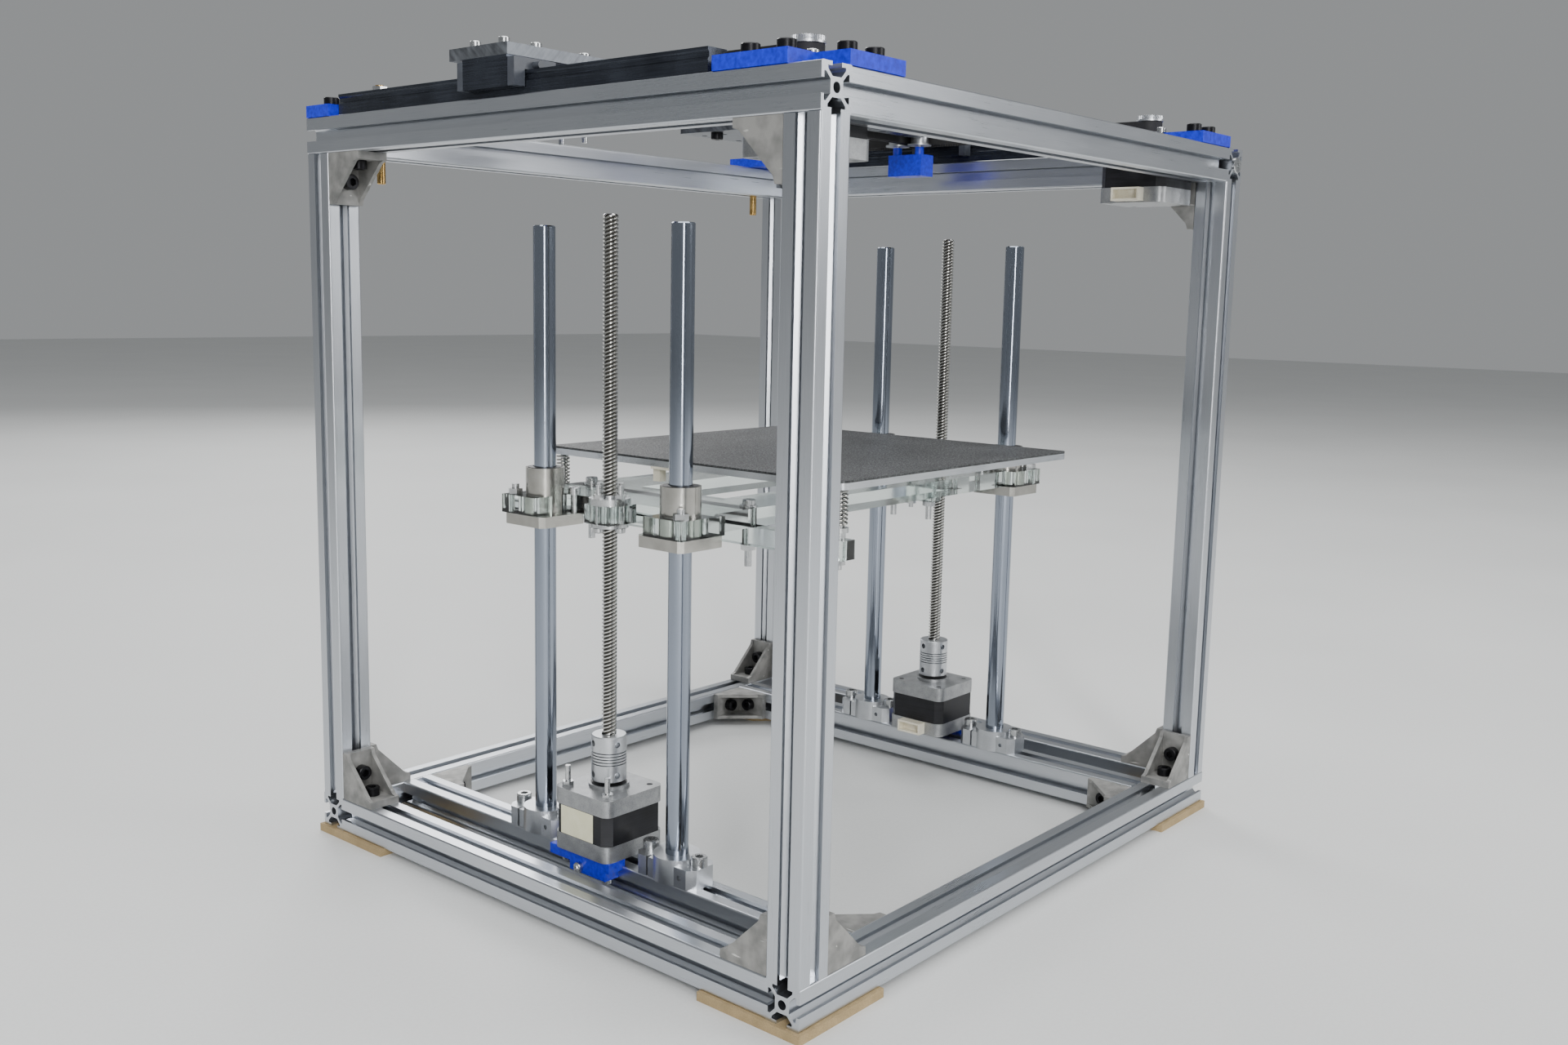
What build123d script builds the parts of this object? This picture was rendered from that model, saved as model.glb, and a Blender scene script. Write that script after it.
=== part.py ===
from build123d import *
import math
import os

# Open-frame fused-filament printer: a box of 20 mm T-slot extrusion, a bed that two lead screws
# raise on four rods, and a belt-driven gantry on rails along the top.
# Millimetres. +X right, +Y back, +Z up, origin under the middle of the frame, on the floor.

# --- driving dimensions -------------------------------------------------------------------
FRAME_X = 410.0          # outer width of the extrusion frame
FRAME_Y = 372.0          # outer depth
FRAME_TOP = 418.5        # top of the upper beams
E = 20.0                 # extrusion section
FOOT_T = 4.5             # foot plate thickness
FOOT_SIZE = 62.0
FOOT_OVERHANG = 2.0

SLOT_OPEN = 6.2          # T-slot mouth
SLOT_LIP = 1.8
SLOT_WIDE = 11.6
SLOT_DEEP = 5.9
BORE = 4.6

BRACKET_LEG = 28.0
BRACKET_W = 19.0
BRACKET_T = 4.0
BRACKET_WEB = 2.4
BRACKET_HOLE = 15.5      # bolt distance from the corner

DRIVE_X = 153.5          # lead screw distance from the middle of the bed
DRIVE_MID_X = 1.5        # middle of the bed and its drives
DRIVE_Y = -7.0
ROD_PITCH = 51.75        # rod distance from the lead screw, along Y
ROD_D = 12.0
ROD_TOP = 359.5
SCREW_D = 8.0
SCREW_TOP = 364.5

MOTOR = 42.3             # motor face
MOTOR_LEN = 34.0
MOTOR_CAP = 9.0
MOTOR_HOLES = 31.0
Z_MOTOR_BASE = 28.0
COUPLER_D = 19.0
COUPLER_LEN = 25.0

PLATE_Z = 205.0          # underside of the acrylic carriage plate at rest
PLATE_T = 10.0
PLATE_Y0 = -68.0         # the plate's front and rear edges
PLATE_Y1 = 70.0
BED_SIZE = 220.0
BED_Y = -18.0            # middle of the bed
BED_Z = 230.5            # underside of the bed plate at rest
BED_T = 3.5
SHEET_T = 1.2
ARM_W = 10.0
ARM_X = 104.5            # bed arms' distance from the middle of the bed
BED_SCREW_INSET = 6.0
ARM_BOLT_Y = 61.0
PAD_REACH = 20.0         # the right arm is a short pad: half its length, and its bolts
PAD_BOLT_Y = 14.0
SUPPORT_EAR = 10.5       # rod support heights
SUPPORT_HUB = 13.5

RAIL_W = 12.0
RAIL_H = 11.5
RAIL_Y0 = -120.0
RAIL_Y1 = 160.0
CARRIAGE_W = 27.0
CARRIAGE_LEN = 34.0
CARRIAGE_CAP = 5.0
CARRIAGE_STACK = 18.5    # underside of the rail to the top of its carriage
GANTRY_Y = 22.5          # middle of the Y carriages at rest
GANTRY_T = 5.8
GANTRY_Y0 = 5.0
GANTRY_Y1 = 50.0
X_RAIL_W = 9.0
X_RAIL_H = 6.5
X_STACK = 10.0
X_CARRIAGE_X = -18.0     # middle of the tool carriage at rest

CORNER_PLATE_T = 6.5
PULLEY_X = 163.3
PULLEY_Y = -144.3
REAR_IDLER_BOLT = 5.0
GANTRY_IDLER_Y = (15.5, 33.5)
DRUM_R = 5.9
FLANGE_R = 8.0
BELT_IN_R = 6.2          # belt's inner face round a drum
BELT_T = 1.3
BELT_W = 6.0
BELT_Z = 427.5

# --- places worked out from them ----------------------------------------------------------
HX = FRAME_X / 2
HY = FRAME_Y / 2
REAR_IDLER_Y = HY - E / 2    # its bolt goes down through the rear beam
BASE_TOP = FOOT_T + E
TOP_UNDER = FRAME_TOP - E
SKIRT_Z = BASE_TOP - 6.8     # underside of the motor bracket's skirt
LIP_Z = BASE_TOP - 2.0
SKIRT_SCREW_Y = -5.5
SKIRT_SCREW_Z = BASE_TOP - 3.6
DRIVES = [DRIVE_MID_X - DRIVE_X, DRIVE_MID_X + DRIVE_X]
ROD_YS = [DRIVE_Y - ROD_PITCH, DRIVE_Y + ROD_PITCH]
SIDES = [("left", -1), ("right", 1)]
GANTRY_Z = FRAME_TOP + CARRIAGE_STACK
X_CARRIAGE_Z = GANTRY_Z - X_STACK
TOOL_Z = X_CARRIAGE_Z - 10.0
TOOL_T = 4.0
GANTRY_IDLER_X = PULLEY_X - 2 * (BELT_IN_R + BELT_T / 2)
FRONT_RUN_Y = GANTRY_IDLER_Y[0] + BELT_IN_R + BELT_T / 2
CORNER_PLATE_TOP = FRAME_TOP + CORNER_PLATE_T
BLOCK_Z = 406.5
BLOCK_H = 14.0


# --- helpers ------------------------------------------------------------------------------
def box(x0, x1, y0, y1, z0, z1):
    """A block between two corners."""
    return Pos((x0 + x1) / 2, (y0 + y1) / 2, (z0 + z1) / 2) * Box(x1 - x0, y1 - y0, z1 - z0)


def rod(x, y, z0, z1, d):
    """An upright cylinder."""
    return Pos(x, y, (z0 + z1) / 2) * Cylinder(d / 2, z1 - z0)


def rod_x(x0, x1, y, z, d):
    """A cylinder along X."""
    return Pos((x0 + x1) / 2, y, z) * Rot(0, 90, 0) * Cylinder(d / 2, x1 - x0)


def slab(points, height):
    """A flat piece of an outline in plan, standing on the origin."""
    return extrude(Polygon(*points, align=None), height, dir=(0, 0, 1))


def hexagon(x, y, z0, z1, across):
    """An upright hexagonal prism, given its width across flats."""
    return Pos(x, y, z0) * extrude(RegularPolygon(across / math.sqrt(3), 6), z1 - z0)


def nut(x, y, z0, z1, across, bore):
    """A hexagonal nut."""
    return hexagon(x, y, z0, z1, across) - rod(x, y, z0 - 1, z1 + 1, bore)


def cap_screw(x, y, z, length, d, head_d, head_h, socket):
    """A socket-head screw pointing down, its head's underside at z."""
    body = rod(x, y, z, z + head_h, head_d) + rod(x, y, z - length, z, d)
    body = chamfer(body.faces().sort_by(Axis.Z)[-1].edges(), 0.4)
    return body - hexagon(x, y, z + head_h * 0.45, z + head_h + 1, socket)


def flipped(shape, z):
    """A shape turned over about the height z."""
    return Pos(0, 0, z) * mirror(Pos(0, 0, -z) * shape, about=Plane.XY)


def group(solids):
    """Several separate solids kept in one part."""
    return Compound(children=[s for item in solids for s in item.solids()])


def save(shape, name):
    """Write one part."""
    export_step(shape, f"parts/{name}.step")


# --- frame --------------------------------------------------------------------------------
def slot_section():
    """The T-slot extrusion's section, centred."""
    half = E / 2
    mouth, wide = SLOT_OPEN / 2, SLOT_WIDE / 2
    lip, deep = half - SLOT_LIP, half - SLOT_DEEP
    knee = deep + 2.9
    pts = [(-mouth, half + 1), (mouth, half + 1), (mouth, lip), (wide, lip), (wide, knee),
           (wide - 2.9, deep), (2.9 - wide, deep), (-wide, knee), (-wide, lip), (-mouth, lip)]
    section = RectangleRounded(E, E, 1.0)
    for turn in range(4):
        section -= Rot(0, 0, 90 * turn) * Polygon(*pts, align=None)
    return section - Circle(BORE / 2)


SECTION = slot_section()


def beam(length):
    """An extrusion along +Z from the origin."""
    return extrude(SECTION, length)


def beam_x(x0, x1, y, z):
    """An extrusion along X, centred on y and z."""
    return Pos(x0, y, z) * Rot(0, 90, 0) * beam(x1 - x0)


def beam_y(y0, y1, x, z):
    """An extrusion along Y, centred on x and z."""
    return Pos(x, y1, z) * Rot(90, 0, 0) * beam(y1 - y0)


def frame_beams():
    """Posts and beams, by name."""
    low, high = FOOT_T + E / 2, FRAME_TOP - E / 2
    side_x, side_y = HX - E / 2, HY - E / 2
    top_rear = beam_x(E - HX, HX - E, side_y, high)
    for _, side in SIDES:
        top_rear -= rod(side * PULLEY_X, REAR_IDLER_Y, TOP_UNDER - 1, FRAME_TOP + 1, REAR_IDLER_BOLT + 0.4)
    posts = []
    for sx in (-1, 1):
        for sy in (-1, 1):
            posts.append(Pos(sx * side_x, sy * side_y, BASE_TOP) * beam(TOP_UNDER - BASE_TOP))
    return {
        "corner_posts": posts,
        "bottom_front_rear_beams": [beam_x(-HX, HX, sy * side_y, low) for sy in (-1, 1)],
        "bottom_side_beams": [beam_y(E - HY, HY - E, sx * side_x, low) for sx in (-1, 1)],
        "drive_beams": [beam_y(E - HY, HY - E, x, low) for x in DRIVES],
        "top_side_beams": [beam_y(-HY, HY, sx * side_x, high) for sx in (-1, 1)],
        "top_front_rear_beams": [beam_x(E - HX, HX - E, -side_y, high), top_rear],
    }


def foot_plates():
    """Flat feet under the four corners, their inner corner cut off."""
    feet = []
    cut = FOOT_SIZE * 0.42
    for sx in (-1, 1):
        for sy in (-1, 1):
            x0, y0 = sx * (HX + FOOT_OVERHANG), sy * (HY + FOOT_OVERHANG)
            x1, y1 = x0 - sx * FOOT_SIZE, y0 - sy * FOOT_SIZE
            outline = [(x0, y0), (x1, y0), (x1, y1 + sy * cut), (x1 + sx * cut, y1), (x0, y1)]
            feet.append(slab(outline, FOOT_T))
    return feet


def bracket():
    """A cast corner bracket with legs along +X and +Z and a web on each side."""
    leg, t, half = BRACKET_LEG, BRACKET_T, BRACKET_W / 2
    body = box(0, leg, -half, half, 0, t) + box(0, t, -half, half, 0, leg)
    outline = [(0, 0), (leg, 0), (leg, t), (leg - 3.5, t + 1.2), (t + 1.2, leg - 3.5), (t, leg), (0, leg)]
    web = Plane.XZ * slab(outline, BRACKET_WEB)
    body += Pos(0, half, 0) * web
    body += Pos(0, BRACKET_WEB - half, 0) * web
    body -= rod(BRACKET_HOLE, 0, -1, t + 1, 5.5)
    return body - rod_x(-1, t + 1, 0, BRACKET_HOLE, 5.5)


def tee_bolt(x, y, z, seat):
    """A socket-head bolt standing on a face at z, with the seat's thickness under its head."""
    return cap_screw(x, y, z, seat + SLOT_DEEP - 0.3, 5.0, 8.5, 5.0, 4.0)


def tee_nut(x, y, face, along):
    """A slot nut below a beam's face at height face; along is the beam's direction."""
    long, wide, z1, z0 = 9.0, 7.0, face - SLOT_LIP - 0.2, face - SLOT_LIP - 3.4
    dx, dy = (long, wide) if along == "x" else (wide, long)
    return box(x - dx / 2, x + dx / 2, y - dy / 2, y + dy / 2, z0, z1) - rod(x, y, z0 - 1, z1 + 1, 5.1)


def bracket_spots():
    """Where the brackets sit, as (group, corner, first leg, second leg)."""
    spots = []
    side_x, side_y = HX - E / 2, HY - E / 2
    for level, z, up in (("lower", BASE_TOP, 1), ("upper", TOP_UNDER, -1)):
        for sx in (-1, 1):
            for sy in (-1, 1):
                spots.append((level, (sx * side_x, sy * (HY - E), z), (0, -sy, 0), (0, 0, up)))
                if level == "lower":
                    spots.append((level, (sx * (HX - E), sy * side_y, z), (-sx, 0, 0), (0, 0, up)))
    for x, inward in ((DRIVES[0] + E / 2, 1), (DRIVES[1] - E / 2, -1)):
        for sy in (-1, 1):
            spots.append(("drive", (x, sy * (HY - E), FOOT_T + E / 2), (inward, 0, 0), (0, -sy, 0)))
    return spots


def brackets_and_bolts():
    """Every bracket with its two bolts and two slot nuts."""
    casting = bracket()
    h, t = BRACKET_HOLE, BRACKET_T
    first = tee_bolt(h, 0, t, t)
    second = Plane(origin=(0, 0, 0), x_dir=(0, 0, 1), z_dir=(1, 0, 0)).location * first
    nut_first = tee_nut(h, 0, 0, "x")
    nut_second = Plane(origin=(0, 0, 0), x_dir=(0, 0, 1), z_dir=(1, 0, 0)).location * nut_first
    castings = {"lower": [], "upper": [], "drive": []}
    bolts, nuts = [], []
    for level, corner, leg_a, leg_b in bracket_spots():
        place = Plane(origin=corner, x_dir=leg_a, z_dir=leg_b).location
        castings[level].append(place * casting)
        bolts += [place * first, place * second]
        nuts += [place * nut_first, place * nut_second]
    return castings, bolts, nuts


# --- corner plates, motors and pulleys ----------------------------------------------------
def motor_plate(side):
    """The printed plate that hangs a motor inside a front corner."""
    s = side
    outer, inner = s * HX, s * (HX - 57.0)
    notch_x, notch_y = s * (HX - 18.5), 18.0 - HY
    outline = [(outer, notch_y), (outer, 60.0 - HY), (inner, 60.0 - HY), (inner, -HY),
               (notch_x, -HY), (notch_x, notch_y)]
    plate = Pos(0, 0, FRAME_TOP) * slab(outline, CORNER_PLATE_T)
    plate -= rod(s * PULLEY_X, PULLEY_Y, FRAME_TOP - 1, CORNER_PLATE_TOP + 1, 23.0)
    for x, y in motor_plate_bolts(side):
        plate -= rod(x, y, FRAME_TOP - 1, CORNER_PLATE_TOP + 1, 5.5)
    for dx, dy in hole_square(MOTOR_HOLES):
        plate -= rod(s * PULLEY_X + dx, PULLEY_Y + dy, FRAME_TOP - 1, CORNER_PLATE_TOP + 1, 3.4)
    return plate


def motor_plate_bolts(side):
    """Bolt centres on a motor plate's two arms."""
    along_y = [(side * (HX - E / 2), y) for y in (-139.0, -159.0)]
    return along_y + [(side * x, E / 2 - HY) for x in (176.0, 157.0)]


def idler_plate(side):
    """The printed plate that holds a belt idler inside a rear corner."""
    s = side
    outer, inner = s * HX, s * (HX - 57.0)
    step_x, step_y, front_y = s * (HX - 18.0), HY - 22.0, HY - 42.0
    outline = [(outer, HY), (inner, HY), (inner, front_y), (step_x, front_y),
               (step_x, step_y), (outer, step_y)]
    plate = Pos(0, 0, FRAME_TOP) * slab(outline, CORNER_PLATE_T)
    plate -= rod(s * PULLEY_X, REAR_IDLER_Y, FRAME_TOP - 1, CORNER_PLATE_TOP + 1, REAR_IDLER_BOLT + 0.2)
    x, y = idler_plate_bolt(side)
    return plate - rod(x, y, FRAME_TOP - 1, CORNER_PLATE_TOP + 1, 5.5)


def idler_plate_bolt(side):
    """The bolt that holds an idler plate beside its idler's own bolt."""
    return side * (HX - E / 2), HY - E / 2


def hole_square(pitch):
    """Offsets of four holes on a square."""
    half = pitch / 2
    return [(sx * half, sy * half) for sx in (-1, 1) for sy in (-1, 1)]


def motor(x, y, base):
    """A stepper motor as (end caps, stator), its body standing on base and its face up."""
    half = MOTOR / 2
    top = base + MOTOR_LEN
    caps = []
    for z0 in (base, top - MOTOR_CAP):
        cap = box(x - half, x + half, y - half, y + half, z0, z0 + MOTOR_CAP)
        caps.append(fillet(cap.edges().filter_by(Axis.Z), 5.0))
    caps[1] += rod(x, y, top, top + 2, 22.0)
    caps[1] -= rod(x, y, top - 6, top + 3, 6.0)
    stator = box(x - half, x + half, y - half, y + half, base + MOTOR_CAP, top - MOTOR_CAP)
    stator = chamfer(stator.edges().filter_by(Axis.Z), 4.6)
    for dx, dy in hole_square(MOTOR_HOLES):
        hole = rod(x + dx, y + dy, base - 1, top + 1, 3.4)
        caps = [cap - hole for cap in caps]
        stator -= hole
    return caps, stator


def connector(x, y, z, facing):
    """The wire socket on a motor's lower cap; facing is +1 or -1 along X."""
    wall = x + facing * MOTOR / 2
    ends = sorted((wall, wall + facing * 6.5))
    body = box(ends[0], ends[1], y - 9, y + 9, z + 0.8, z + 8.6)
    mouth = sorted((wall + facing * 1.5, wall + facing * 8))
    return body - box(mouth[0], mouth[1], y - 7.8, y + 7.8, z + 2.0, z + 7.4)


def drum(x, y, z0, bore):
    """A flanged belt idler."""
    body = rod(x, y, z0, z0 + BELT_W + 2.4, 2 * DRUM_R)
    body += rod(x, y, z0, z0 + 1.0, 2 * FLANGE_R)
    body += rod(x, y, z0 + BELT_W + 1.4, z0 + BELT_W + 2.4, 2 * FLANGE_R)
    return body - rod(x, y, z0 - 1, z0 + BELT_W + 4, bore)


def pulley(side):
    """The motor's toothed pulley with its hub, and the shaft it is fixed to."""
    x, y = side * PULLEY_X, PULLEY_Y
    z0 = BELT_Z - 1.2
    body = drum(x, y, z0, 5.0) + rod(x, y, z0 + BELT_W + 2.4, z0 + BELT_W + 4.6, 2 * FLANGE_R)
    body -= rod(x, y, z0 - 1, z0 + 14, 5.0)
    shaft = rod(x, y, FRAME_TOP - 5, z0 + BELT_W + 5.2, 5.0)
    return [body, shaft]


# --- bed drives ---------------------------------------------------------------------------
def support_bolts(x, y):
    """The two bolts of a rod support."""
    return [(x, y - 16.0), (x, y + 19.0)]


def rod_support(x, y):
    """A flanged rod clamp that lies on a drive beam: two bolted ears and a hub."""
    z, ear = BASE_TOP, BASE_TOP + SUPPORT_EAR
    body = box(x - 10, x + 10, y - 20, y + 22.5, z, ear)
    body = chamfer(body.edges().filter_by(Axis.Z), 4.0)
    body += rod(x, y, z, z + SUPPORT_HUB, 25.0)
    body -= rod(x, y, z - 1, z + SUPPORT_HUB + 1, ROD_D)
    body -= box(x - 14, x - 6.6, y + 11.4, y + 12.6, z - 1, z + SUPPORT_HUB + 1)
    body -= rod_x(x - 11, x - 7, y - 11.0, z + SUPPORT_EAR / 2, 2.6)
    for hx, hy in support_bolts(x, y):
        body -= rod(hx, hy, z - 1, ear + 1, 5.5)
        body -= rod(hx, hy, ear, z + SUPPORT_HUB + 1, 9.0)
    return body


def drive_bracket(x, side):
    """The printed shelf that carries a bed motor on the outer face of its beam."""
    outer = x + side * (E / 2 + 9.5)
    face = x + side * E / 2
    inner = x + side * 8.0
    y0, y1 = DRIVE_Y - MOTOR / 2, DRIVE_Y + MOTOR / 2 + 4.3
    shelf_x, wall_x = sorted((outer, inner)), sorted((outer, face))
    shelf = box(shelf_x[0], shelf_x[1], y0, y1, BASE_TOP, Z_MOTOR_BASE)
    wall = box(wall_x[0], wall_x[1], y0 + 3, y1 - 16, SKIRT_Z, BASE_TOP)
    lip = box(wall_x[0], wall_x[1], y0, y1, LIP_Z, BASE_TOP)
    body = shelf + wall + lip
    drill = sorted((face - side, outer + side))
    body -= rod_x(drill[0], drill[1], SKIRT_SCREW_Y, SKIRT_SCREW_Z, 3.4)
    for dy in (-MOTOR_HOLES / 2, MOTOR_HOLES / 2):
        body -= rod(x + side * MOTOR_HOLES / 2, DRIVE_Y + dy, BASE_TOP - 12, Z_MOTOR_BASE + 1, 3.4)
    return body


def long_screws(x, side):
    """Two screws up through a bed motor, and the one in its bracket's skirt.

    The left motor's screws stand out above it and carry nuts.
    """
    top = Z_MOTOR_BASE + MOTOR_LEN
    tip = top + 11 if side < 0 else top - 2
    pieces = []
    for dy in (-MOTOR_HOLES / 2, MOTOR_HOLES / 2):
        sx, sy = x + side * MOTOR_HOLES / 2, DRIVE_Y + dy
        under = LIP_Z if dy > 0 else SKIRT_Z
        screw = cap_screw(sx, sy, under, 1, 3.0, 5.5, 2.5, 2.5)
        pieces.append(flipped(screw, under) + rod(sx, sy, under, tip, 3.0))
        if side < 0:
            pieces.append(nut(sx, sy, top, top + 2.4, 5.5, 3.05))
    face = x + side * (E / 2 + 9.5)
    skirt = cap_screw(0, 0, 0, 9, 3.0, 5.5, 2.5, 2.5)
    place = Plane(origin=(face, SKIRT_SCREW_Y, SKIRT_SCREW_Z), x_dir=(0, 1, 0), z_dir=(side, 0, 0))
    pieces.append(place.location * skirt)
    return pieces


def coupler(x):
    """A split flexible coupler with two clamp bores and helical cuts as rings."""
    z0 = Z_MOTOR_BASE + MOTOR_LEN + 3.5
    body = rod(x, DRIVE_Y, z0, z0 + COUPLER_LEN, COUPLER_D)
    body = chamfer(body.edges().filter_by(GeomType.CIRCLE), 0.5)
    body -= rod(x, DRIVE_Y, z0 - 1, z0 + 12, 5.0) + rod(x, DRIVE_Y, z0 + 12, z0 + 26, SCREW_D)
    for k in range(5):
        zc = z0 + 9.4 + 1.6 * k
        ring = rod(x, DRIVE_Y, zc, zc + 0.6, COUPLER_D + 1) - rod(x, DRIVE_Y, zc - 1, zc + 2, COUPLER_D - 5)
        body -= ring
    for z in (z0 + 4.0, z0 + COUPLER_LEN - 4.0):
        for angle in (-105, 165):
            body -= Pos(x, DRIVE_Y, z) * Rot(0, 0, angle) * rod_x(5, COUPLER_D, 0, 0, 3.4)
    return body


def lead_screw(x):
    """The lead screw, and the motor shaft below it in the same coupler."""
    z0 = Z_MOTOR_BASE + MOTOR_LEN + 3.5
    screw = rod(x, DRIVE_Y, z0 + 13, SCREW_TOP, SCREW_D)
    shaft = rod(x, DRIVE_Y, Z_MOTOR_BASE + MOTOR_LEN - 5, z0 + 11, 5.0)
    return [chamfer(screw.edges().group_by(Axis.Z)[-1], 1.0), shaft]


# --- bed ----------------------------------------------------------------------------------
def bearing_holes(x, y):
    """The two flange bolts of a bearing, on the diagonal that points at the screw's tab."""
    side = 1 if x > DRIVE_MID_X else -1
    end = 1 if y > DRIVE_Y else -1
    d = 11.3
    return [(x + side * d, y + end * d), (x - side * d, y - end * d)]


def nut_holes(x):
    """The four screws round a lead nut."""
    return [(x + 8, DRIVE_Y), (x - 8, DRIVE_Y), (x, DRIVE_Y + 8), (x, DRIVE_Y - 8)]


def arm_bolt_spots():
    """Bolts that hold the bed arms under the carriage plate."""
    left, right = DRIVE_MID_X - ARM_X, DRIVE_MID_X + ARM_X
    return [(left, -ARM_BOLT_Y), (left, ARM_BOLT_Y), (right, BED_Y - PAD_BOLT_Y), (right, BED_Y + PAD_BOLT_Y)]


def carriage_plate():
    """The clear plate: two cross members, two sides, a tab for each bearing and each nut."""
    z0, z1 = PLATE_Z, PLATE_Z + PLATE_T
    mid, half_x = DRIVE_MID_X, DRIVE_X - E / 2
    body = box(mid - half_x, mid + half_x, PLATE_Y0, PLATE_Y1, z0, z1)
    for x in DRIVES:
        side = 1 if x > mid else -1
        outer = x + side * 16.5
        for y in ROD_YS:
            end = 1 if y > DRIVE_Y else -1
            xs = sorted((outer, x - side * 15.0))
            ys = sorted((y + end * 16.5, y - end * 10.0))
            body += box(xs[0], xs[1], ys[0], ys[1], z0, z1)
        xs = sorted((x + side * 9.5, x - side * 15.0))
        body += box(xs[0], xs[1], DRIVE_Y - 9.5, DRIVE_Y + 9.5, z0, z1)
    body -= box(mid - 92, mid + 92, -32, 32, z0 - 1, z1 + 1)
    for x in DRIVES:
        body -= rod(x, DRIVE_Y, z0 - 1, z1 + 1, 10.4)
        for hx, hy in nut_holes(x):
            body -= rod(hx, hy, z0 - 1, z1 + 1, 3.3)
        for y in ROD_YS:
            body -= rod(x, y, z0 - 1, z1 + 1, 21.2)
            for hx, hy in bearing_holes(x, y):
                body -= rod(hx, hy, z0 - 1, z1 + 1, 4.4)
    for hx, hy in arm_bolt_spots():
        body -= rod(hx, hy, z0 - 1, z1 + 1, 4.4)
    hx, hy = bed_screw_spots()[-1]
    return body - rod(hx, hy, z0 - 1, z1 + 1, 12.0)


def bed_screw_spots():
    """The three levelling screws: both left corners, and the middle of the right side."""
    reach = BED_SIZE / 2 - BED_SCREW_INSET
    left = [(DRIVE_MID_X - ARM_X, BED_Y + end * reach) for end in (-1, 1)]
    return left + [(DRIVE_MID_X + ARM_X, BED_Y)]


def bed_arms():
    """The clear bars under the plate: a long one for both left levelling screws, a pad on the right."""
    half = BED_SIZE / 2
    arms = []
    for s, y0, y1 in ((-1, BED_Y - half, BED_Y + half), (1, BED_Y - PAD_REACH, BED_Y + PAD_REACH)):
        x = DRIVE_MID_X + s * ARM_X
        arm = box(x - ARM_W / 2, x + ARM_W / 2, y0, y1, PLATE_Z - PLATE_T, PLATE_Z)
        for hx, hy in bed_screw_spots():
            arm -= rod(hx, hy, PLATE_Z - PLATE_T - 1, PLATE_Z + 1, 3.6)
        for hx, hy in arm_bolt_spots():
            arm -= rod(hx, hy, PLATE_Z - PLATE_T - 1, PLATE_Z + 1, 4.4)
        arms.append(arm)
    return arms


def bearing(x, y):
    """A linear bearing with a square flange under the carriage plate."""
    flange = box(x - 16, x + 16, y - 16, y + 16, PLATE_Z - 6, PLATE_Z)
    flange = chamfer(flange.edges().filter_by(Axis.Z), 2.5)
    body = flange + rod(x, y, PLATE_Z, PLATE_Z + 25, 21.0)
    body -= rod(x, y, PLATE_Z - 7, PLATE_Z + 26, ROD_D + 0.1)
    for hx, hy in bearing_holes(x, y):
        body -= rod(hx, hy, PLATE_Z - 7, PLATE_Z + 1, 4.4)
    hx, hy = bearing_holes(x, y)[0]
    return body - rod(hx, hy, PLATE_Z - 7, PLATE_Z - 1.8, 7.4)


def lead_nut(x):
    """A flanged lead nut on top of its tab, and the disc that backs it below."""
    top = PLATE_Z + PLATE_T
    body = rod(x, DRIVE_Y, top, top + 3.5, 22.0) + rod(x, DRIVE_Y, PLATE_Z + 0.4, top + 5.0, 10.2)
    body -= rod(x, DRIVE_Y, PLATE_Z - 9, top + 9, SCREW_D + 0.1)
    disc = rod(x, DRIVE_Y, PLATE_Z - 2, PLATE_Z, 20.0) - rod(x, DRIVE_Y, PLATE_Z - 3, PLATE_Z + 1, 9.0)
    for hx, hy in nut_holes(x):
        body -= rod(hx, hy, PLATE_Z - 9, top + 9, 3.3)
        disc -= rod(hx, hy, PLATE_Z - 9, top + 9, 3.3)
    return [body, disc]


def carriage_bolts():
    """Bolts and nuts of the bed carriage."""
    top = PLATE_Z + PLATE_T
    pieces = []
    for x in DRIVES:
        for y in ROD_YS:
            outer, inner = bearing_holes(x, y)
            under = PLATE_Z - 1.8
            head = cap_screw(outer[0], outer[1], under, 1, 4.0, 7.0, 3.6, 3.0)
            pieces.append(flipped(head, under) + rod(outer[0], outer[1], under, top + 5.5, 4.0))
            pieces.append(nut(outer[0], outer[1], top, top + 3.2, 7.0, 4.05))
            pieces.append(cap_screw(inner[0], inner[1], top, PLATE_T + 5, 4.0, 7.0, 4.0, 3.0))
        for hx, hy in nut_holes(x):
            under = PLATE_Z - 2
            head = cap_screw(hx, hy, under, 1, 3.0, 5.5, 2.4, 2.5)
            pieces.append(flipped(head, under) + rod(hx, hy, under, top + 10.5, 3.0))
            pieces.append(nut(hx, hy, top + 3.5, top + 5.9, 5.0, 3.05))
    for hx, hy in arm_bolt_spots():
        bottom = PLATE_Z - PLATE_T
        pieces.append(cap_screw(hx, hy, top + 0.8, 2 * PLATE_T + 12.8, 4.0, 7.0, 3.0, 2.5))
        pieces.append(rod(hx, hy, top, top + 0.8, 10.0) - rod(hx, hy, top - 1, top + 2, 4.05))
        pieces.append(nut(hx, hy, bottom - 3.2, bottom, 7.0, 4.05))
    return pieces


def bed_plate():
    """The aluminium bed, with a countersunk hole over each levelling screw."""
    half = BED_SIZE / 2
    plate = box(DRIVE_MID_X - half, DRIVE_MID_X + half, BED_Y - half, BED_Y + half, BED_Z, BED_Z + BED_T)
    plate = fillet(plate.edges().filter_by(Axis.Z), 4.0)
    for x, y in bed_screw_spots():
        plate -= rod(x, y, BED_Z - 1, BED_Z + BED_T + 1, 3.2)
        plate -= Pos(x, y, BED_Z + BED_T - 0.95) * Cone(1.6, 3.5, 1.9)
    return plate


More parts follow.
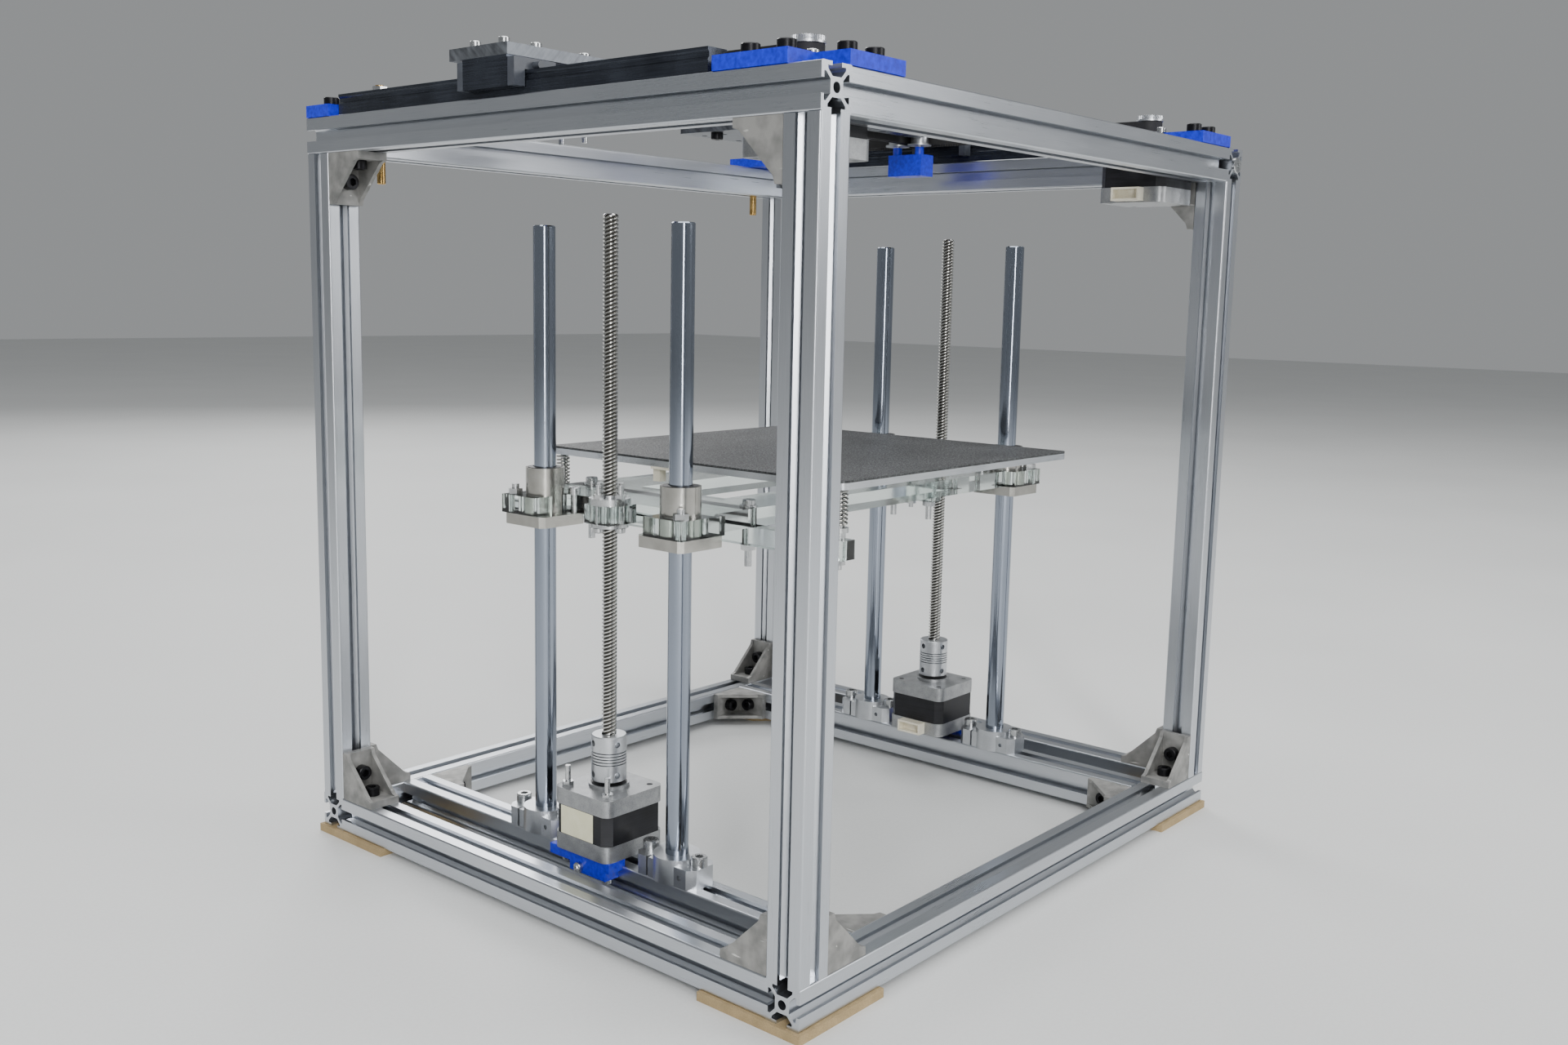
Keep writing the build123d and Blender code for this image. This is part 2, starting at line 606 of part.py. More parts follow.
def build_sheet():
    """The print surface on top of the bed."""
    half = BED_SIZE / 2
    z0 = BED_Z + BED_T
    sheet = box(DRIVE_MID_X - half, DRIVE_MID_X + half, BED_Y - half, BED_Y + half, z0, z0 + SHEET_T)
    return fillet(sheet.edges().filter_by(Axis.Z), 4.0)


def bed_screw(x, y):
    """A levelling screw, its head flush in the bed and its tip below the arm."""
    top = BED_Z + BED_T
    head = Pos(x, y, top - 0.9) * Cone(1.55, 3.3, 1.8)
    return head + rod(x, y, PLATE_Z - PLATE_T - 5.5, top - 1.7, 3.0)


def spring_seat(x, y):
    """The collar and washer that a bed spring stands on."""
    seat = rod(x, y, PLATE_Z, PLATE_Z + 3.6, 6.0) + rod(x, y, PLATE_Z + 3.6, PLATE_Z + 6.0, 9.0)
    return seat - rod(x, y, PLATE_Z - 1, PLATE_Z + 8, 3.7)


def bed_spring(x, y):
    """A bed spring's envelope, as a sleeve between its seat and the bed."""
    return rod(x, y, PLATE_Z + 6.0, BED_Z, 8.0) - rod(x, y, PLATE_Z, BED_Z + 1, 5.6)


def bed_terminal():
    """The heater's terminal under the bed's left edge: a metal tab and two plastic blocks."""
    x = DRIVE_MID_X - BED_SIZE / 2
    y = -6.0
    tab = box(x - 1, x + 8, y - 12, y + 12, BED_Z - 1.2, BED_Z)
    blocks = [box(x + 0.5, x + 5.5, y + dy - 2.5, y + dy + 2.5, BED_Z - 8.2, BED_Z - 1.2) for dy in (-9, 9)]
    return [tab, *blocks]


# --- gantry -------------------------------------------------------------------------------
def rail_section(width, height):
    """A linear rail's section, standing on the origin."""
    w, g = width / 2, width / 15
    pts = [(-w, 0), (w, 0), (w, 0.56 * height), (w - g, 0.64 * height), (w - g, 0.8 * height),
           (w, 0.88 * height), (w, height), (-w, height), (-w, 0.88 * height),
           (g - w, 0.8 * height), (g - w, 0.64 * height), (-w, 0.56 * height)]
    return Polygon(*pts, align=None)


def y_rail_holes():
    """Y positions of a rail's screws."""
    count = 11
    pitch = 25.0
    start = (RAIL_Y0 + RAIL_Y1 - pitch * (count - 1)) / 2
    return [start + pitch * k for k in range(count)]


def y_rail(side):
    """A rail along the top of a side beam."""
    x = side * (HX - E / 2)
    rail = Plane.XZ * extrude(rail_section(RAIL_W, RAIL_H), RAIL_Y1 - RAIL_Y0)
    rail = Pos(x, RAIL_Y1, FRAME_TOP) * rail
    for y in y_rail_holes():
        rail -= rod(x, y, FRAME_TOP - 1, FRAME_TOP + 5, 3.5)
        rail -= rod(x, y, FRAME_TOP + 4.5, FRAME_TOP + RAIL_H + 1, 6.0)
    return rail


def rail_screws():
    """The screws in both rails, and the one in the end of the right beam."""
    pieces = []
    for _, side in SIDES:
        for y in y_rail_holes():
            pieces.append(cap_screw(side * (HX - E / 2), y, FRAME_TOP + 4.5, 8.5, 3.0, 5.5, 3.0, 2.5))
    end = cap_screw(0, 0, 0, 12, 4.4, 9.5, FOOT_OVERHANG, 3.0)
    place = Plane(origin=(HX - E / 2, -HY, FRAME_TOP - E / 2), x_dir=(1, 0, 0), z_dir=(0, -1, 0))
    pieces.append(place.location * end)
    return pieces


def y_carriage(side):
    """A rail carriage's steel block."""
    x = side * (HX - E / 2)
    half = CARRIAGE_W / 2
    y0, y1 = GANTRY_Y - CARRIAGE_LEN / 2, GANTRY_Y + CARRIAGE_LEN / 2
    block = box(x - half, x + half, y0, y1, FRAME_TOP + 3.6, GANTRY_Z)
    block -= box(x - 6.4, x + 6.4, y0 - 1, y1 + 1, FRAME_TOP, FRAME_TOP + RAIL_H + 0.4)
    for hx, hy in gantry_screw_spots(side):
        block -= rod(hx, hy, GANTRY_Z - 4, GANTRY_Z + 1, 3.0)
    return block


def carriage_caps():
    """The end caps of both Y carriages, the front ones with a grease nipple."""
    caps = []
    for _, side in SIDES:
        x = side * (HX - E / 2)
        for end in (-1, 1):
            near = GANTRY_Y + end * CARRIAGE_LEN / 2
            ys = sorted((near, near + end * CARRIAGE_CAP))
            cap = box(x - 13, x + 13, ys[0], ys[1], FRAME_TOP + 3.8, GANTRY_Z - 1.2)
            cap -= box(x - 6.4, x + 6.4, ys[0] - 1, ys[1] + 1, FRAME_TOP, FRAME_TOP + RAIL_H + 0.4)
            if end < 0:
                nipple = Pos(x, ys[0] - 2, GANTRY_Z - 4.2) * Rot(90, 0, 0) * Cylinder(1.8, 5)
                cap += nipple
            caps.append(cap)
    return caps


def gantry_screw_spots(side):
    """Screws that hold the gantry plate on a carriage."""
    x = side * (HX - E / 2)
    return [(x + dx, GANTRY_Y + dy) for dx in (-10.0, 10.0) for dy in (-11.0, 11.0)]


def gantry_plate():
    """The flat bar across the carriages."""
    reach = HX + 3.5
    plate = box(-reach, reach, GANTRY_Y0, GANTRY_Y1, GANTRY_Z, GANTRY_Z + GANTRY_T)
    for _, side in SIDES:
        for x, y in gantry_screw_spots(side):
            plate -= rod(x, y, GANTRY_Z - 1, GANTRY_Z + GANTRY_T + 1, 3.3)
        for y in GANTRY_IDLER_Y:
            plate -= rod(side * GANTRY_IDLER_X, y, GANTRY_Z - 1, GANTRY_Z + GANTRY_T + 1, 3.3)
    for x in x_rail_holes():
        plate -= rod(x, X_RAIL_Y, GANTRY_Z - 1, GANTRY_Z + GANTRY_T + 1, 3.0)
    return plate


X_RAIL_Y = GANTRY_Y0 + X_RAIL_W / 2 + 0.5
X_RAIL_REACH = 140.0


def x_rail_holes():
    """X positions of the cross rail's screws."""
    return [-125.0 + 25.0 * k for k in range(11)]


def x_rail():
    """The rail under the gantry plate, along X."""
    rail = Plane.YZ * extrude(rail_section(X_RAIL_W, X_RAIL_H), 2 * X_RAIL_REACH)
    rail = Pos(-X_RAIL_REACH, X_RAIL_Y, GANTRY_Z) * Rot(180, 0, 0) * rail
    for x in x_rail_holes():
        rail -= rod(x, X_RAIL_Y, GANTRY_Z - X_RAIL_H - 1, GANTRY_Z + 1, 3.0)
        rail -= rod(x, X_RAIL_Y, GANTRY_Z - X_RAIL_H - 1, GANTRY_Z - 3.0, 5.0)
    return rail


def gantry_screws():
    """Screws on the gantry plate: carriages, cross rail, and nuts of the idler screws."""
    top = GANTRY_Z + GANTRY_T
    pieces = []
    for _, side in SIDES:
        for x, y in gantry_screw_spots(side):
            pieces.append(cap_screw(x, y, top, 8.5, 2.9, 5.5, 3.0, 2.5))
        tip = 401.0 if side < 0 else BLOCK_Z + 2
        for y in GANTRY_IDLER_Y:
            x = side * GANTRY_IDLER_X
            pieces.append(cap_screw(x, y, top, top - tip, 3.0, 5.5, 3.0, 2.5))
    for x in x_rail_holes():
        screw = cap_screw(x, X_RAIL_Y, 0, 7.2, 2.6, 4.6, 2.0, 2.0)
        pieces.append(Pos(0, 0, GANTRY_Z - 3.0) * flipped(screw, 0))
    return pieces


def idler_block(side):
    """The printed block that holds the lower ends of two gantry idler screws."""
    x = side * GANTRY_IDLER_X
    mid = sum(GANTRY_IDLER_Y) / 2
    xs = sorted((x - side * 4, x + side * 10))
    block = box(xs[0], xs[1], mid - 13.5, mid + 13.5, BLOCK_Z, BLOCK_Z + BLOCK_H)
    for y in GANTRY_IDLER_Y:
        block += rod(x, y, BLOCK_Z + BLOCK_H, BELT_Z - 1.9, 6.0)
        block -= rod(x, y, BLOCK_Z - 1, BELT_Z + 2, 3.1)
    return block


# --- belts --------------------------------------------------------------------------------
def ribbon(parts):
    """Belt pieces drawn in plan, raised to the belt's width."""
    shape = extrude(parts[0], BELT_W)
    for part in parts[1:]:
        shape += extrude(part, BELT_W)
    return Pos(0, 0, BELT_Z) * shape


def arc_strip(x, y, start, stop):
    """The belt round part of a drum, between two angles in degrees."""
    inner, outer = BELT_IN_R, BELT_IN_R + BELT_T
    span = stop - start
    ring = Circle(outer) - Circle(inner)
    steps = 8
    fan = [(0, 0)]
    for k in range(steps + 1):
        a = math.radians(start + span * k / steps)
        fan.append((2 * outer * math.cos(a), 2 * outer * math.sin(a)))
    return Pos(x, y) * (ring & Polygon(*fan, align=None))


def strip(x0, x1, y0, y1):
    """A straight belt run in plan."""
    return Pos((x0 + x1) / 2, (y0 + y1) / 2) * Rectangle(abs(x1 - x0), abs(y1 - y0))


def side_belt(side):
    """The belt's loop along one side, round the motor's pulley and the rear idler."""
    x = side * PULLEY_X
    inner, outer = BELT_IN_R, BELT_IN_R + BELT_T
    runs = [strip(x + s * inner, x + s * outer, PULLEY_Y, REAR_IDLER_Y) for s in (-1, 1)]
    ends = [arc_strip(x, PULLEY_Y, 180, 360), arc_strip(x, REAR_IDLER_Y, 0, 180)]
    return ribbon(runs + ends)


def cross_belt():
    """The belt's two runs along the gantry, with their turns round its idlers."""
    inner, outer = BELT_IN_R, BELT_IN_R + BELT_T
    x = GANTRY_IDLER_X
    front, rear = GANTRY_IDLER_Y
    lead = 39
    front_run = ribbon([strip(-x, x, front + inner, front + outer),
                        arc_strip(-x, front, 90, 180 - lead), arc_strip(x, front, lead, 90)])
    rear_run = ribbon([strip(-x, x, rear - outer, rear - inner),
                       arc_strip(-x, rear, 180 + lead, 270), arc_strip(x, rear, 270, 360 - lead)])
    return [front_run, rear_run]


def rear_idler_bolt(side):
    """The long bolt that stands through the rear beam and a rear idler."""
    x, y = side * PULLEY_X, REAR_IDLER_Y
    bolt = rod(x, y, TOP_UNDER - 14.0, BELT_Z + BELT_W + 7.0, REAR_IDLER_BOLT)
    return chamfer(bolt.edges().group_by(Axis.Z)[0], 0.5)


def rear_idler_nuts(side):
    """The spacer under a rear idler, and the washer and nut on top of it."""
    x, y = side * PULLEY_X, REAR_IDLER_Y
    hole = rod(x, y, FRAME_TOP, FRAME_TOP + 30, REAR_IDLER_BOLT + 0.05)
    spacer = rod(x, y, CORNER_PLATE_TOP, BELT_Z - 1.3, 8.0) - hole
    washer = rod(x, y, BELT_Z + BELT_W + 1.3, BELT_Z + BELT_W + 2.2, 12.0) - hole
    top = hexagon(x, y, BELT_Z + BELT_W + 2.2, BELT_Z + BELT_W + 6.2, 8.0) - hole
    return [spacer, washer, top]


# --- tool carriage ------------------------------------------------------------------------
def x_carriage():
    """The cross rail's carriage block and the spacer below it."""
    x, y = X_CARRIAGE_X, X_RAIL_Y
    y0, y1 = y - 10, y + 10
    block = box(x - 15, x + 15, y0, y1, X_CARRIAGE_Z, GANTRY_Z - 2.0)
    block -= box(x - 16, x + 16, y - 4.8, y + 4.8, GANTRY_Z - X_RAIL_H - 0.3, GANTRY_Z)
    spacer = box(x - 15, x + 15, y0, y1, TOOL_Z + TOOL_T, X_CARRIAGE_Z)
    return [block, spacer]


def tool_hole_spots():
    """The four tool holes, on a 30 by 16 mm rectangle."""
    return [(X_CARRIAGE_X + dx, y) for dx in (-15.0, 15.0) for y in (25.0, 41.0)]


def tool_plate():
    """The plate that a tool head bolts to."""
    x = X_CARRIAGE_X
    plate = box(x - 30, x + 30, 1.0, 47.0, TOOL_Z, TOOL_Z + TOOL_T)
    plate = fillet(plate.edges().filter_by(Axis.Z), 2.0)
    for hx, hy in tool_hole_spots():
        plate -= rod(hx, hy, TOOL_Z - 1, TOOL_Z + TOOL_T + 1, 3.4)
    for hx, hy in tool_bolt_spots():
        plate -= rod(hx, hy, TOOL_Z - 1, TOOL_Z + TOOL_T + 1, 4.4)
    return plate


def tool_bolt_spots():
    """Bolts up through the plate into the spacer and the belt clamps."""
    return [(X_CARRIAGE_X + dx, X_RAIL_Y) for dx in (-9.0, 9.0)] + \
           [(X_CARRIAGE_X + dx, FRONT_RUN_Y) for dx in (-24.0, 24.0)]


def tool_bolts():
    """The bolts' heads below the plate and their shanks in it."""
    pieces = []
    for x, y in tool_bolt_spots():
        pieces.append(flipped(cap_screw(x, y, TOOL_Z, TOOL_T - 0.1, 4.0, 7.0, 4.0, 3.0), TOOL_Z))
    return pieces


def belt_clamp(dx):
    """A printed clamp that grips the front cross run of the belt."""
    x = X_CARRIAGE_X + dx
    run = FRONT_RUN_Y
    top = GANTRY_Z - 1.2
    body = box(x - 6, x + 6, run - 3.2, run + 2.4, TOOL_Z + TOOL_T, top)
    return body - box(x - 7, x + 7, run - 0.95, run + 0.95, BELT_Z - 0.4, top + 1)


# --- making every part --------------------------------------------------------------------
def frame_parts():
    """The extrusion frame with its brackets and fasteners."""
    parts = frame_beams()
    parts["foot_plates"] = foot_plates()
    castings, bolts, nuts = brackets_and_bolts()
    parts["lower_corner_brackets"] = castings["lower"]
    parts["upper_corner_brackets"] = castings["upper"]
    parts["drive_beam_brackets"] = castings["drive"]
    for _, side in SIDES:
        for x, y in [*motor_plate_bolts(side), idler_plate_bolt(side)]:
            along = "y" if abs(x) > HX - E else "x"
            bolts.append(tee_bolt(x, y, CORNER_PLATE_TOP, CORNER_PLATE_T))
            nuts.append(tee_nut(x, y, FRAME_TOP, along))
    parts["frame_bolts"] = bolts
    parts["slot_nuts"] = nuts
    parts["y_rails"] = [y_rail(side) for _, side in SIDES]
    parts["rail_screws"] = rail_screws()
    parts["motor_plates"] = [motor_plate(side) for _, side in SIDES]
    parts["idler_plates"] = [idler_plate(side) for _, side in SIDES]
    return parts


def motor_parts():
    """The four motors with their sockets, and the bright screws and nuts of the drives."""
    caps, stators, sockets, screws = [], [], [], []
    for _, side in SIDES:
        hung = motor(side * PULLEY_X, PULLEY_Y, FRAME_TOP - MOTOR_LEN)
        stood = motor(DRIVE_MID_X + side * DRIVE_X, DRIVE_Y, Z_MOTOR_BASE)
        for end_caps, stator in (hung, stood):
            caps += end_caps
            stators.append(stator)
        sockets.append(connector(side * PULLEY_X, PULLEY_Y, FRAME_TOP - MOTOR_LEN, -side))
        facing = 1 if side < 0 else -1
        sockets.append(connector(DRIVE_MID_X + side * DRIVE_X, DRIVE_Y, Z_MOTOR_BASE, facing))
        for dx, dy in hole_square(MOTOR_HOLES):
            sx, sy = side * PULLEY_X + dx, PULLEY_Y + dy
            screws.append(cap_screw(sx, sy, CORNER_PLATE_TOP, 11, 3.0, 5.5, 3.0, 2.5))
        screws += long_screws(DRIVE_MID_X + side * DRIVE_X, side)
        screws += rear_idler_nuts(side)
    for x in DRIVES:
        for y in ROD_YS:
            for hx, hy in support_bolts(x, y):
                screws.append(cap_screw(hx, hy, BASE_TOP + SUPPORT_EAR, 15.5, 5.0, 8.5, 5.0, 4.0))
    return {"motor_end_caps": caps, "motor_stators": stators, "motor_sockets": sockets,
            "drive_screws": screws}


def drive_parts():
    """Rods, supports, lead screws and couplers."""
    parts = {
        "rod_supports": [rod_support(x, y) for x in DRIVES for y in ROD_YS],
        "guide_rods": [chamfer(rod(x, y, BASE_TOP, ROD_TOP, ROD_D).edges().group_by(Axis.Z)[-1], 0.6)
                       for x in DRIVES for y in ROD_YS],
        "drive_brackets": [drive_bracket(DRIVE_MID_X + side * DRIVE_X, side) for _, side in SIDES],
    }
    for (name, _), x in zip(SIDES, DRIVES):
        parts[f"lead_screw_{name}"] = lead_screw(x)
        parts[f"coupler_{name}"] = [coupler(x)]
    return parts


def bed_parts():
    """The bed carriage and the bed on its springs."""
    spots = bed_screw_spots()
    return {
        "carriage_plate": [carriage_plate()],
        "bed_arms": bed_arms(),
        "linear_bearings": [bearing(x, y) for x in DRIVES for y in ROD_YS],
        "lead_nuts": [piece for x in DRIVES for piece in lead_nut(x)],
        "carriage_bolts": carriage_bolts(),
        "spring_seats": [spring_seat(x, y) for x, y in spots],
        "bed_springs": [bed_spring(x, y) for x, y in spots],
        "bed_plate": [bed_plate()],
        "build_sheet": [build_sheet()],
        "bed_screws": [bed_screw(x, y) for x, y in spots],
        "levelling_nuts": [nut(x, y, PLATE_Z - PLATE_T - 3.0, PLATE_Z - PLATE_T - 0.1, 5.5, 3.05)
                           for x, y in spots],
        "bed_terminal": bed_terminal(),
    }


def gantry_parts():
    """The gantry, its idlers, the belts and the tool carriage."""
    parts = {
        "y_carriages": [y_carriage(side) for _, side in SIDES],
        "carriage_caps": carriage_caps(),
        "gantry_plate": [gantry_plate()],
        "x_rail": [x_rail()],
        "gantry_screws": gantry_screws(),
        "idler_blocks": [idler_block(side) for _, side in SIDES],
        "cross_belt": cross_belt(),
        "side_belts": [side_belt(side) for _, side in SIDES],
        "rear_idler_bolts": [rear_idler_bolt(side) for _, side in SIDES],
        "x_carriage": x_carriage(),
        "tool_plate": [tool_plate()],
        "tool_bolts": tool_bolts(),
        "belt_clamps": [belt_clamp(dx) for dx in (-24.0, 24.0)],
    }
    for name, side in SIDES:
        parts[f"pulley_{name}"] = pulley(side)
        rear = drum(side * PULLEY_X, REAR_IDLER_Y, BELT_Z - 1.2, REAR_IDLER_BOLT + 0.1)
        parts[f"rear_idler_{name}"] = [rear]
        for place, y in zip(("front", "rear"), GANTRY_IDLER_Y):
            idler = drum(side * GANTRY_IDLER_X, y, BELT_Z - 1.2, 3.1)
            parts[f"gantry_idler_{place}_{name}"] = [idler]
    return parts


os.makedirs("parts", exist_ok=True)
for maker in (frame_parts, motor_parts, drive_parts, bed_parts, gantry_parts):
    for part_name, solids in maker().items():
        save(group(solids), part_name)
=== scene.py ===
"""Visual model of an open-frame filament printer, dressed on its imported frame."""

from dataclasses import dataclass
from enum import Enum
import logging
import math

import bmesh
import bpy
from mathutils import Matrix, Vector

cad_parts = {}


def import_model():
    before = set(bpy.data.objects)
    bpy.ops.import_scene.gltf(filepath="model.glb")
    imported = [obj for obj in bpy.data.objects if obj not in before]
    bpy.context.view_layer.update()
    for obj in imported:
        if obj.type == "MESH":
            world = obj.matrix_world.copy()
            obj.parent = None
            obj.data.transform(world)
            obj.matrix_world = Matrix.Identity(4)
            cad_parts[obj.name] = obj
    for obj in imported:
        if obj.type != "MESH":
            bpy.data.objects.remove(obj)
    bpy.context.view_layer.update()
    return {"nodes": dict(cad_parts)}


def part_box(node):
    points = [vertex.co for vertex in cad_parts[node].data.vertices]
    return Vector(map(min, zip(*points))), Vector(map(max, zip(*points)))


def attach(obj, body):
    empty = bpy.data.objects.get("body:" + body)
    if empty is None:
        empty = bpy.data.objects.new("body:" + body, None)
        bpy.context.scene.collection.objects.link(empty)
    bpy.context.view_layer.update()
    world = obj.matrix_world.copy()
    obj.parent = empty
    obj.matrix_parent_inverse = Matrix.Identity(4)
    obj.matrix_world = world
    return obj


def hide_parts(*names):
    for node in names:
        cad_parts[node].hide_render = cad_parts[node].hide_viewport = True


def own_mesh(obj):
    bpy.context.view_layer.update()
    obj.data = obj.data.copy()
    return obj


log = logging.getLogger("printer")

Socket = bpy.types.NodeSocket
Colour = tuple[float, float, float, float]

MM = 0.001
FULL_TURN = 2 * math.pi
SHARP_ANGLE = math.radians(32)
LAYER_WAVE_SCALE = 2 / FULL_TURN    # gives about one band of the wave texture to each layer

# The camera's place and aim, found for a lens of this length on a 36 mm sensor.
CAMERA_PLACE = (-0.6662, -0.5600, 0.3247)
CAMERA_HEADING = math.radians(49.561)
CAMERA_TILT = math.radians(8.318)
CAMERA_ROLL = math.radians(1.153)
CAMERA_LENS = 33.17
CAMERA_SHIFT = (0.0049, -0.0097)


class Grain(Enum):
    """Which way a drawn or milled surface's fine lines run."""

    ALONG_X = (0.02, 1.0, 1.0)
    ALONG_Y = (1.0, 0.02, 1.0)
    ALONG_Z = (1.0, 1.0, 0.02)
    LEVEL = (0.02, 0.02, 1.0)
    EVEN = (1.0, 1.0, 1.0)


# --- shader nodes -------------------------------------------------------------------------
def linear(hex_colour: str) -> Colour:
    """Turn an sRGB colour into linear light.

    Args:
        hex_colour: Six hex digits after a hash.

    Returns:
        Red, green, blue and an alpha of one.
    """
    parts = [int(hex_colour[i:i + 2], 16) / 255 for i in (1, 3, 5)]
    light = [c / 12.92 if c <= 0.04045 else ((c + 0.055) / 1.055) ** 2.4 for c in parts]
    return (*light, 1.0)


class Shader:
    """One material's node tree, with its Principled surface in place."""

    def __init__(self, name: str) -> None:
        """Start an empty material.

        Args:
            name: The finish's name.
        """
        self.material = bpy.data.materials.new(name)
        self.material.use_nodes = True
        self.tree = self.material.node_tree
        self.tree.nodes.clear()
        self.surface = self.add("ShaderNodeBsdfPrincipled")
        self.add("ShaderNodeOutputMaterial", {"Surface": self.surface.outputs["BSDF"]})
        self.place = self.add("ShaderNodeTexCoord").outputs["Object"]

    def add(self, kind: str, inputs: dict | None = None, **settings: object) -> bpy.types.Node:
        """Add a node.

        Args:
            kind: Blender's name for the node.
            inputs: Socket names or numbers, each with a value or the socket that feeds it.
            **settings: Properties of the node itself.

        Returns:
            The new node.
        """
        node = self.tree.nodes.new(kind)
        for key, value in settings.items():
            setattr(node, key, value)
        for key, value in (inputs or {}).items():
            if isinstance(value, bpy.types.NodeSocket):
                self.tree.links.new(value, node.inputs[key])
            else:
                node.inputs[key].default_value = value
        return node

    def spots(self, size_mm: float, stretch: tuple[float, float, float], detail: float = 4.0) -> Socket:
        """A noise pattern.

        Args:
            size_mm: Width of a typical blotch or grain.
            stretch: How fine the pattern is along each axis.
            detail: How many finer layers it carries.

        Returns:
            The pattern's socket, from 0 to 1.
        """
        scale = [s / (size_mm * MM) for s in stretch]
        placed = self.add("ShaderNodeMapping", {"Vector": self.place, "Scale": scale})
        noise = self.add("ShaderNodeTexNoise", {"Vector": placed.outputs[0], "Scale": 1.0, "Detail": detail})
        return noise.outputs["Fac"]

    def ramp(self, factor: Socket, low: float, high: float, out_low: float = 0.0,
             out_high: float = 1.0) -> Socket:
        """Stretch part of a pattern's range over another range.

        Args:
            factor: The pattern.
            low: Where the part starts.
            high: Where the part ends.
            out_low: What the start turns into.
            out_high: What the end turns into.

        Returns:
            The stretched pattern's socket.
        """
        node = self.add("ShaderNodeMapRange", {"Value": factor, "From Min": low, "From Max": high,
                                               "To Min": out_low, "To Max": out_high})
        return node.outputs[0]

    def mix(self, factor: Socket, first: Colour | Socket, second: Colour | Socket) -> Socket:
        """Mix two colours.

        Args:
            factor: The share of the second colour.
            first: A colour, or the socket that gives one.
            second: The other colour, or its socket.

        Returns:
            The mixed colour's socket.
        """
        node = self.add("ShaderNodeMix", {0: factor, 6: first, 7: second}, data_type="RGBA")
        return node.outputs[2]

    def relief(self, height: Socket, depth_mm: float, under: Socket | None = None) -> Socket:
        """Give the surface a relief.

        Args:
            height: The pattern that raises it.
            depth_mm: Height from the pattern's lowest to its highest.
            under: The normal of a coarser relief below it, if any.

        Returns:
            The normal's socket.
        """
        inputs = {"Height": height, "Distance": depth_mm * MM, "Strength": 1.0}
        if under is not None:
            inputs["Normal"] = under
        normal = self.add("ShaderNodeBump", inputs).outputs["Normal"]
        self.tree.links.new(normal, self.surface.inputs["Normal"])
        return normal

    def feed(self, socket: str, value: float | tuple[float, ...] | Socket) -> None:
        """Give one of the surface's sockets a value or a pattern.

        Args:
            socket: The socket's name.
            value: The value, or the socket of the pattern that feeds it.
        """
        if isinstance(value, bpy.types.NodeSocket):
            self.tree.links.new(value, self.surface.inputs[socket])
        else:
            self.surface.inputs[socket].default_value = value


# --- finishes -----------------------------------------------------------------------------
@dataclass(frozen=True)
class Finish:
    """A surface with blotches of colour, a fine grain and a soft unevenness of gloss."""

    name: str
    dark: str
    light: str
    roughness: tuple[float, float] = (0.3, 0.45)
    metallic: float = 0.0
    blotch_mm: float = 18.0
    grain_mm: float = 0.6
    grain_depth_mm: float = 0.01
    grain: Grain = Grain.EVEN
    coat: float = 0.0

    def build(self) -> bpy.types.Material:
        """Make the material.

        Returns:
            The material, ready for a slot.
        """
        shader = Shader(self.name)
        blotch = shader.spots(self.blotch_mm, Grain.EVEN.value)
        fine = shader.spots(self.grain_mm, self.grain.value, 2.0)
        both = shader.add("ShaderNodeMath", {0: blotch, 1: fine}, operation="ADD").outputs[0]
        tone = shader.ramp(both, 0.7, 1.3)
        shader.feed("Base Color", shader.mix(tone, linear(self.dark), linear(self.light)))
        shader.feed("Roughness", shader.ramp(both, 0.7, 1.3, *self.roughness))
        shader.feed("Metallic", self.metallic)
        shader.feed("Coat Weight", self.coat)
        shader.relief(fine, self.grain_depth_mm)
        return shader.material


@dataclass(frozen=True)
class PrintedPlastic:
    """Filament plastic laid down in layers: a glossy blue with fine level ridges."""

    name: str = "printed_blue_pla"
    dark: str = "#0617A6"
    light: str = "#0C28DA"
    layer_mm: float = 0.3    # drawn a little coarser than 0.2 mm so that it shows

    def build(self) -> bpy.types.Material:
        """Make the material.

        Returns:
            The material, ready for a slot.
        """
        shader = Shader(self.name)
        height = shader.add("ShaderNodeMapping", {"Vector": shader.place,
                                                  "Scale": (0, 0, 1 / (self.layer_mm * MM))})
        layers = shader.add("ShaderNodeTexWave", {"Vector": height.outputs[0], "Scale": LAYER_WAVE_SCALE,
                                                  "Distortion": 0.0}, bands_direction="Z")
        swirl = shader.spots(2.2, (1.0, 1.0, 1.0))
        tone = shader.ramp(swirl, 0.3, 0.7)
        shader.feed("Base Color", shader.mix(tone, linear(self.dark), linear(self.light)))
        shader.feed("Roughness", shader.ramp(swirl, 0.3, 0.7, 0.28, 0.44))
        shader.feed("Subsurface Weight", 0.05)
        shader.feed("Subsurface Radius", (0.0008, 0.0010, 0.0030))
        shader.relief(layers.outputs["Fac"], 0.03, shader.relief(swirl, 0.02))
        return shader.material


@dataclass(frozen=True)
class CastAlloy:
    """Blasted die-cast zinc: a neutral matte grey with a sandy grain and a few bright nicks."""

    name: str = "blasted_cast_alloy"
    dark: str = "#7B7B79"
    light: str = "#9C9B98"
    nick: str = "#D2D1CE"

    def build(self) -> bpy.types.Material:
        """Make the material.

        Returns:
            The material, ready for a slot.
        """
        shader = Shader(self.name)
        sand = shader.spots(0.5, Grain.EVEN.value, 3.0)
        cloud = shader.spots(9.0, Grain.EVEN.value, 2.0)
        scratch = shader.spots(3.0, (1.0, 0.15, 1.0), 6.0)
        body = shader.mix(shader.ramp(cloud, 0.35, 0.65), linear(self.dark), linear(self.light))
        worn = shader.ramp(scratch, 0.68, 0.74)
        shader.feed("Base Color", shader.mix(worn, body, linear(self.nick)))
        shader.feed("Metallic", 0.55)
        shader.feed("Roughness", shader.ramp(sand, 0.3, 0.7, 0.48, 0.62))
        shader.relief(sand, 0.05)
        return shader.material


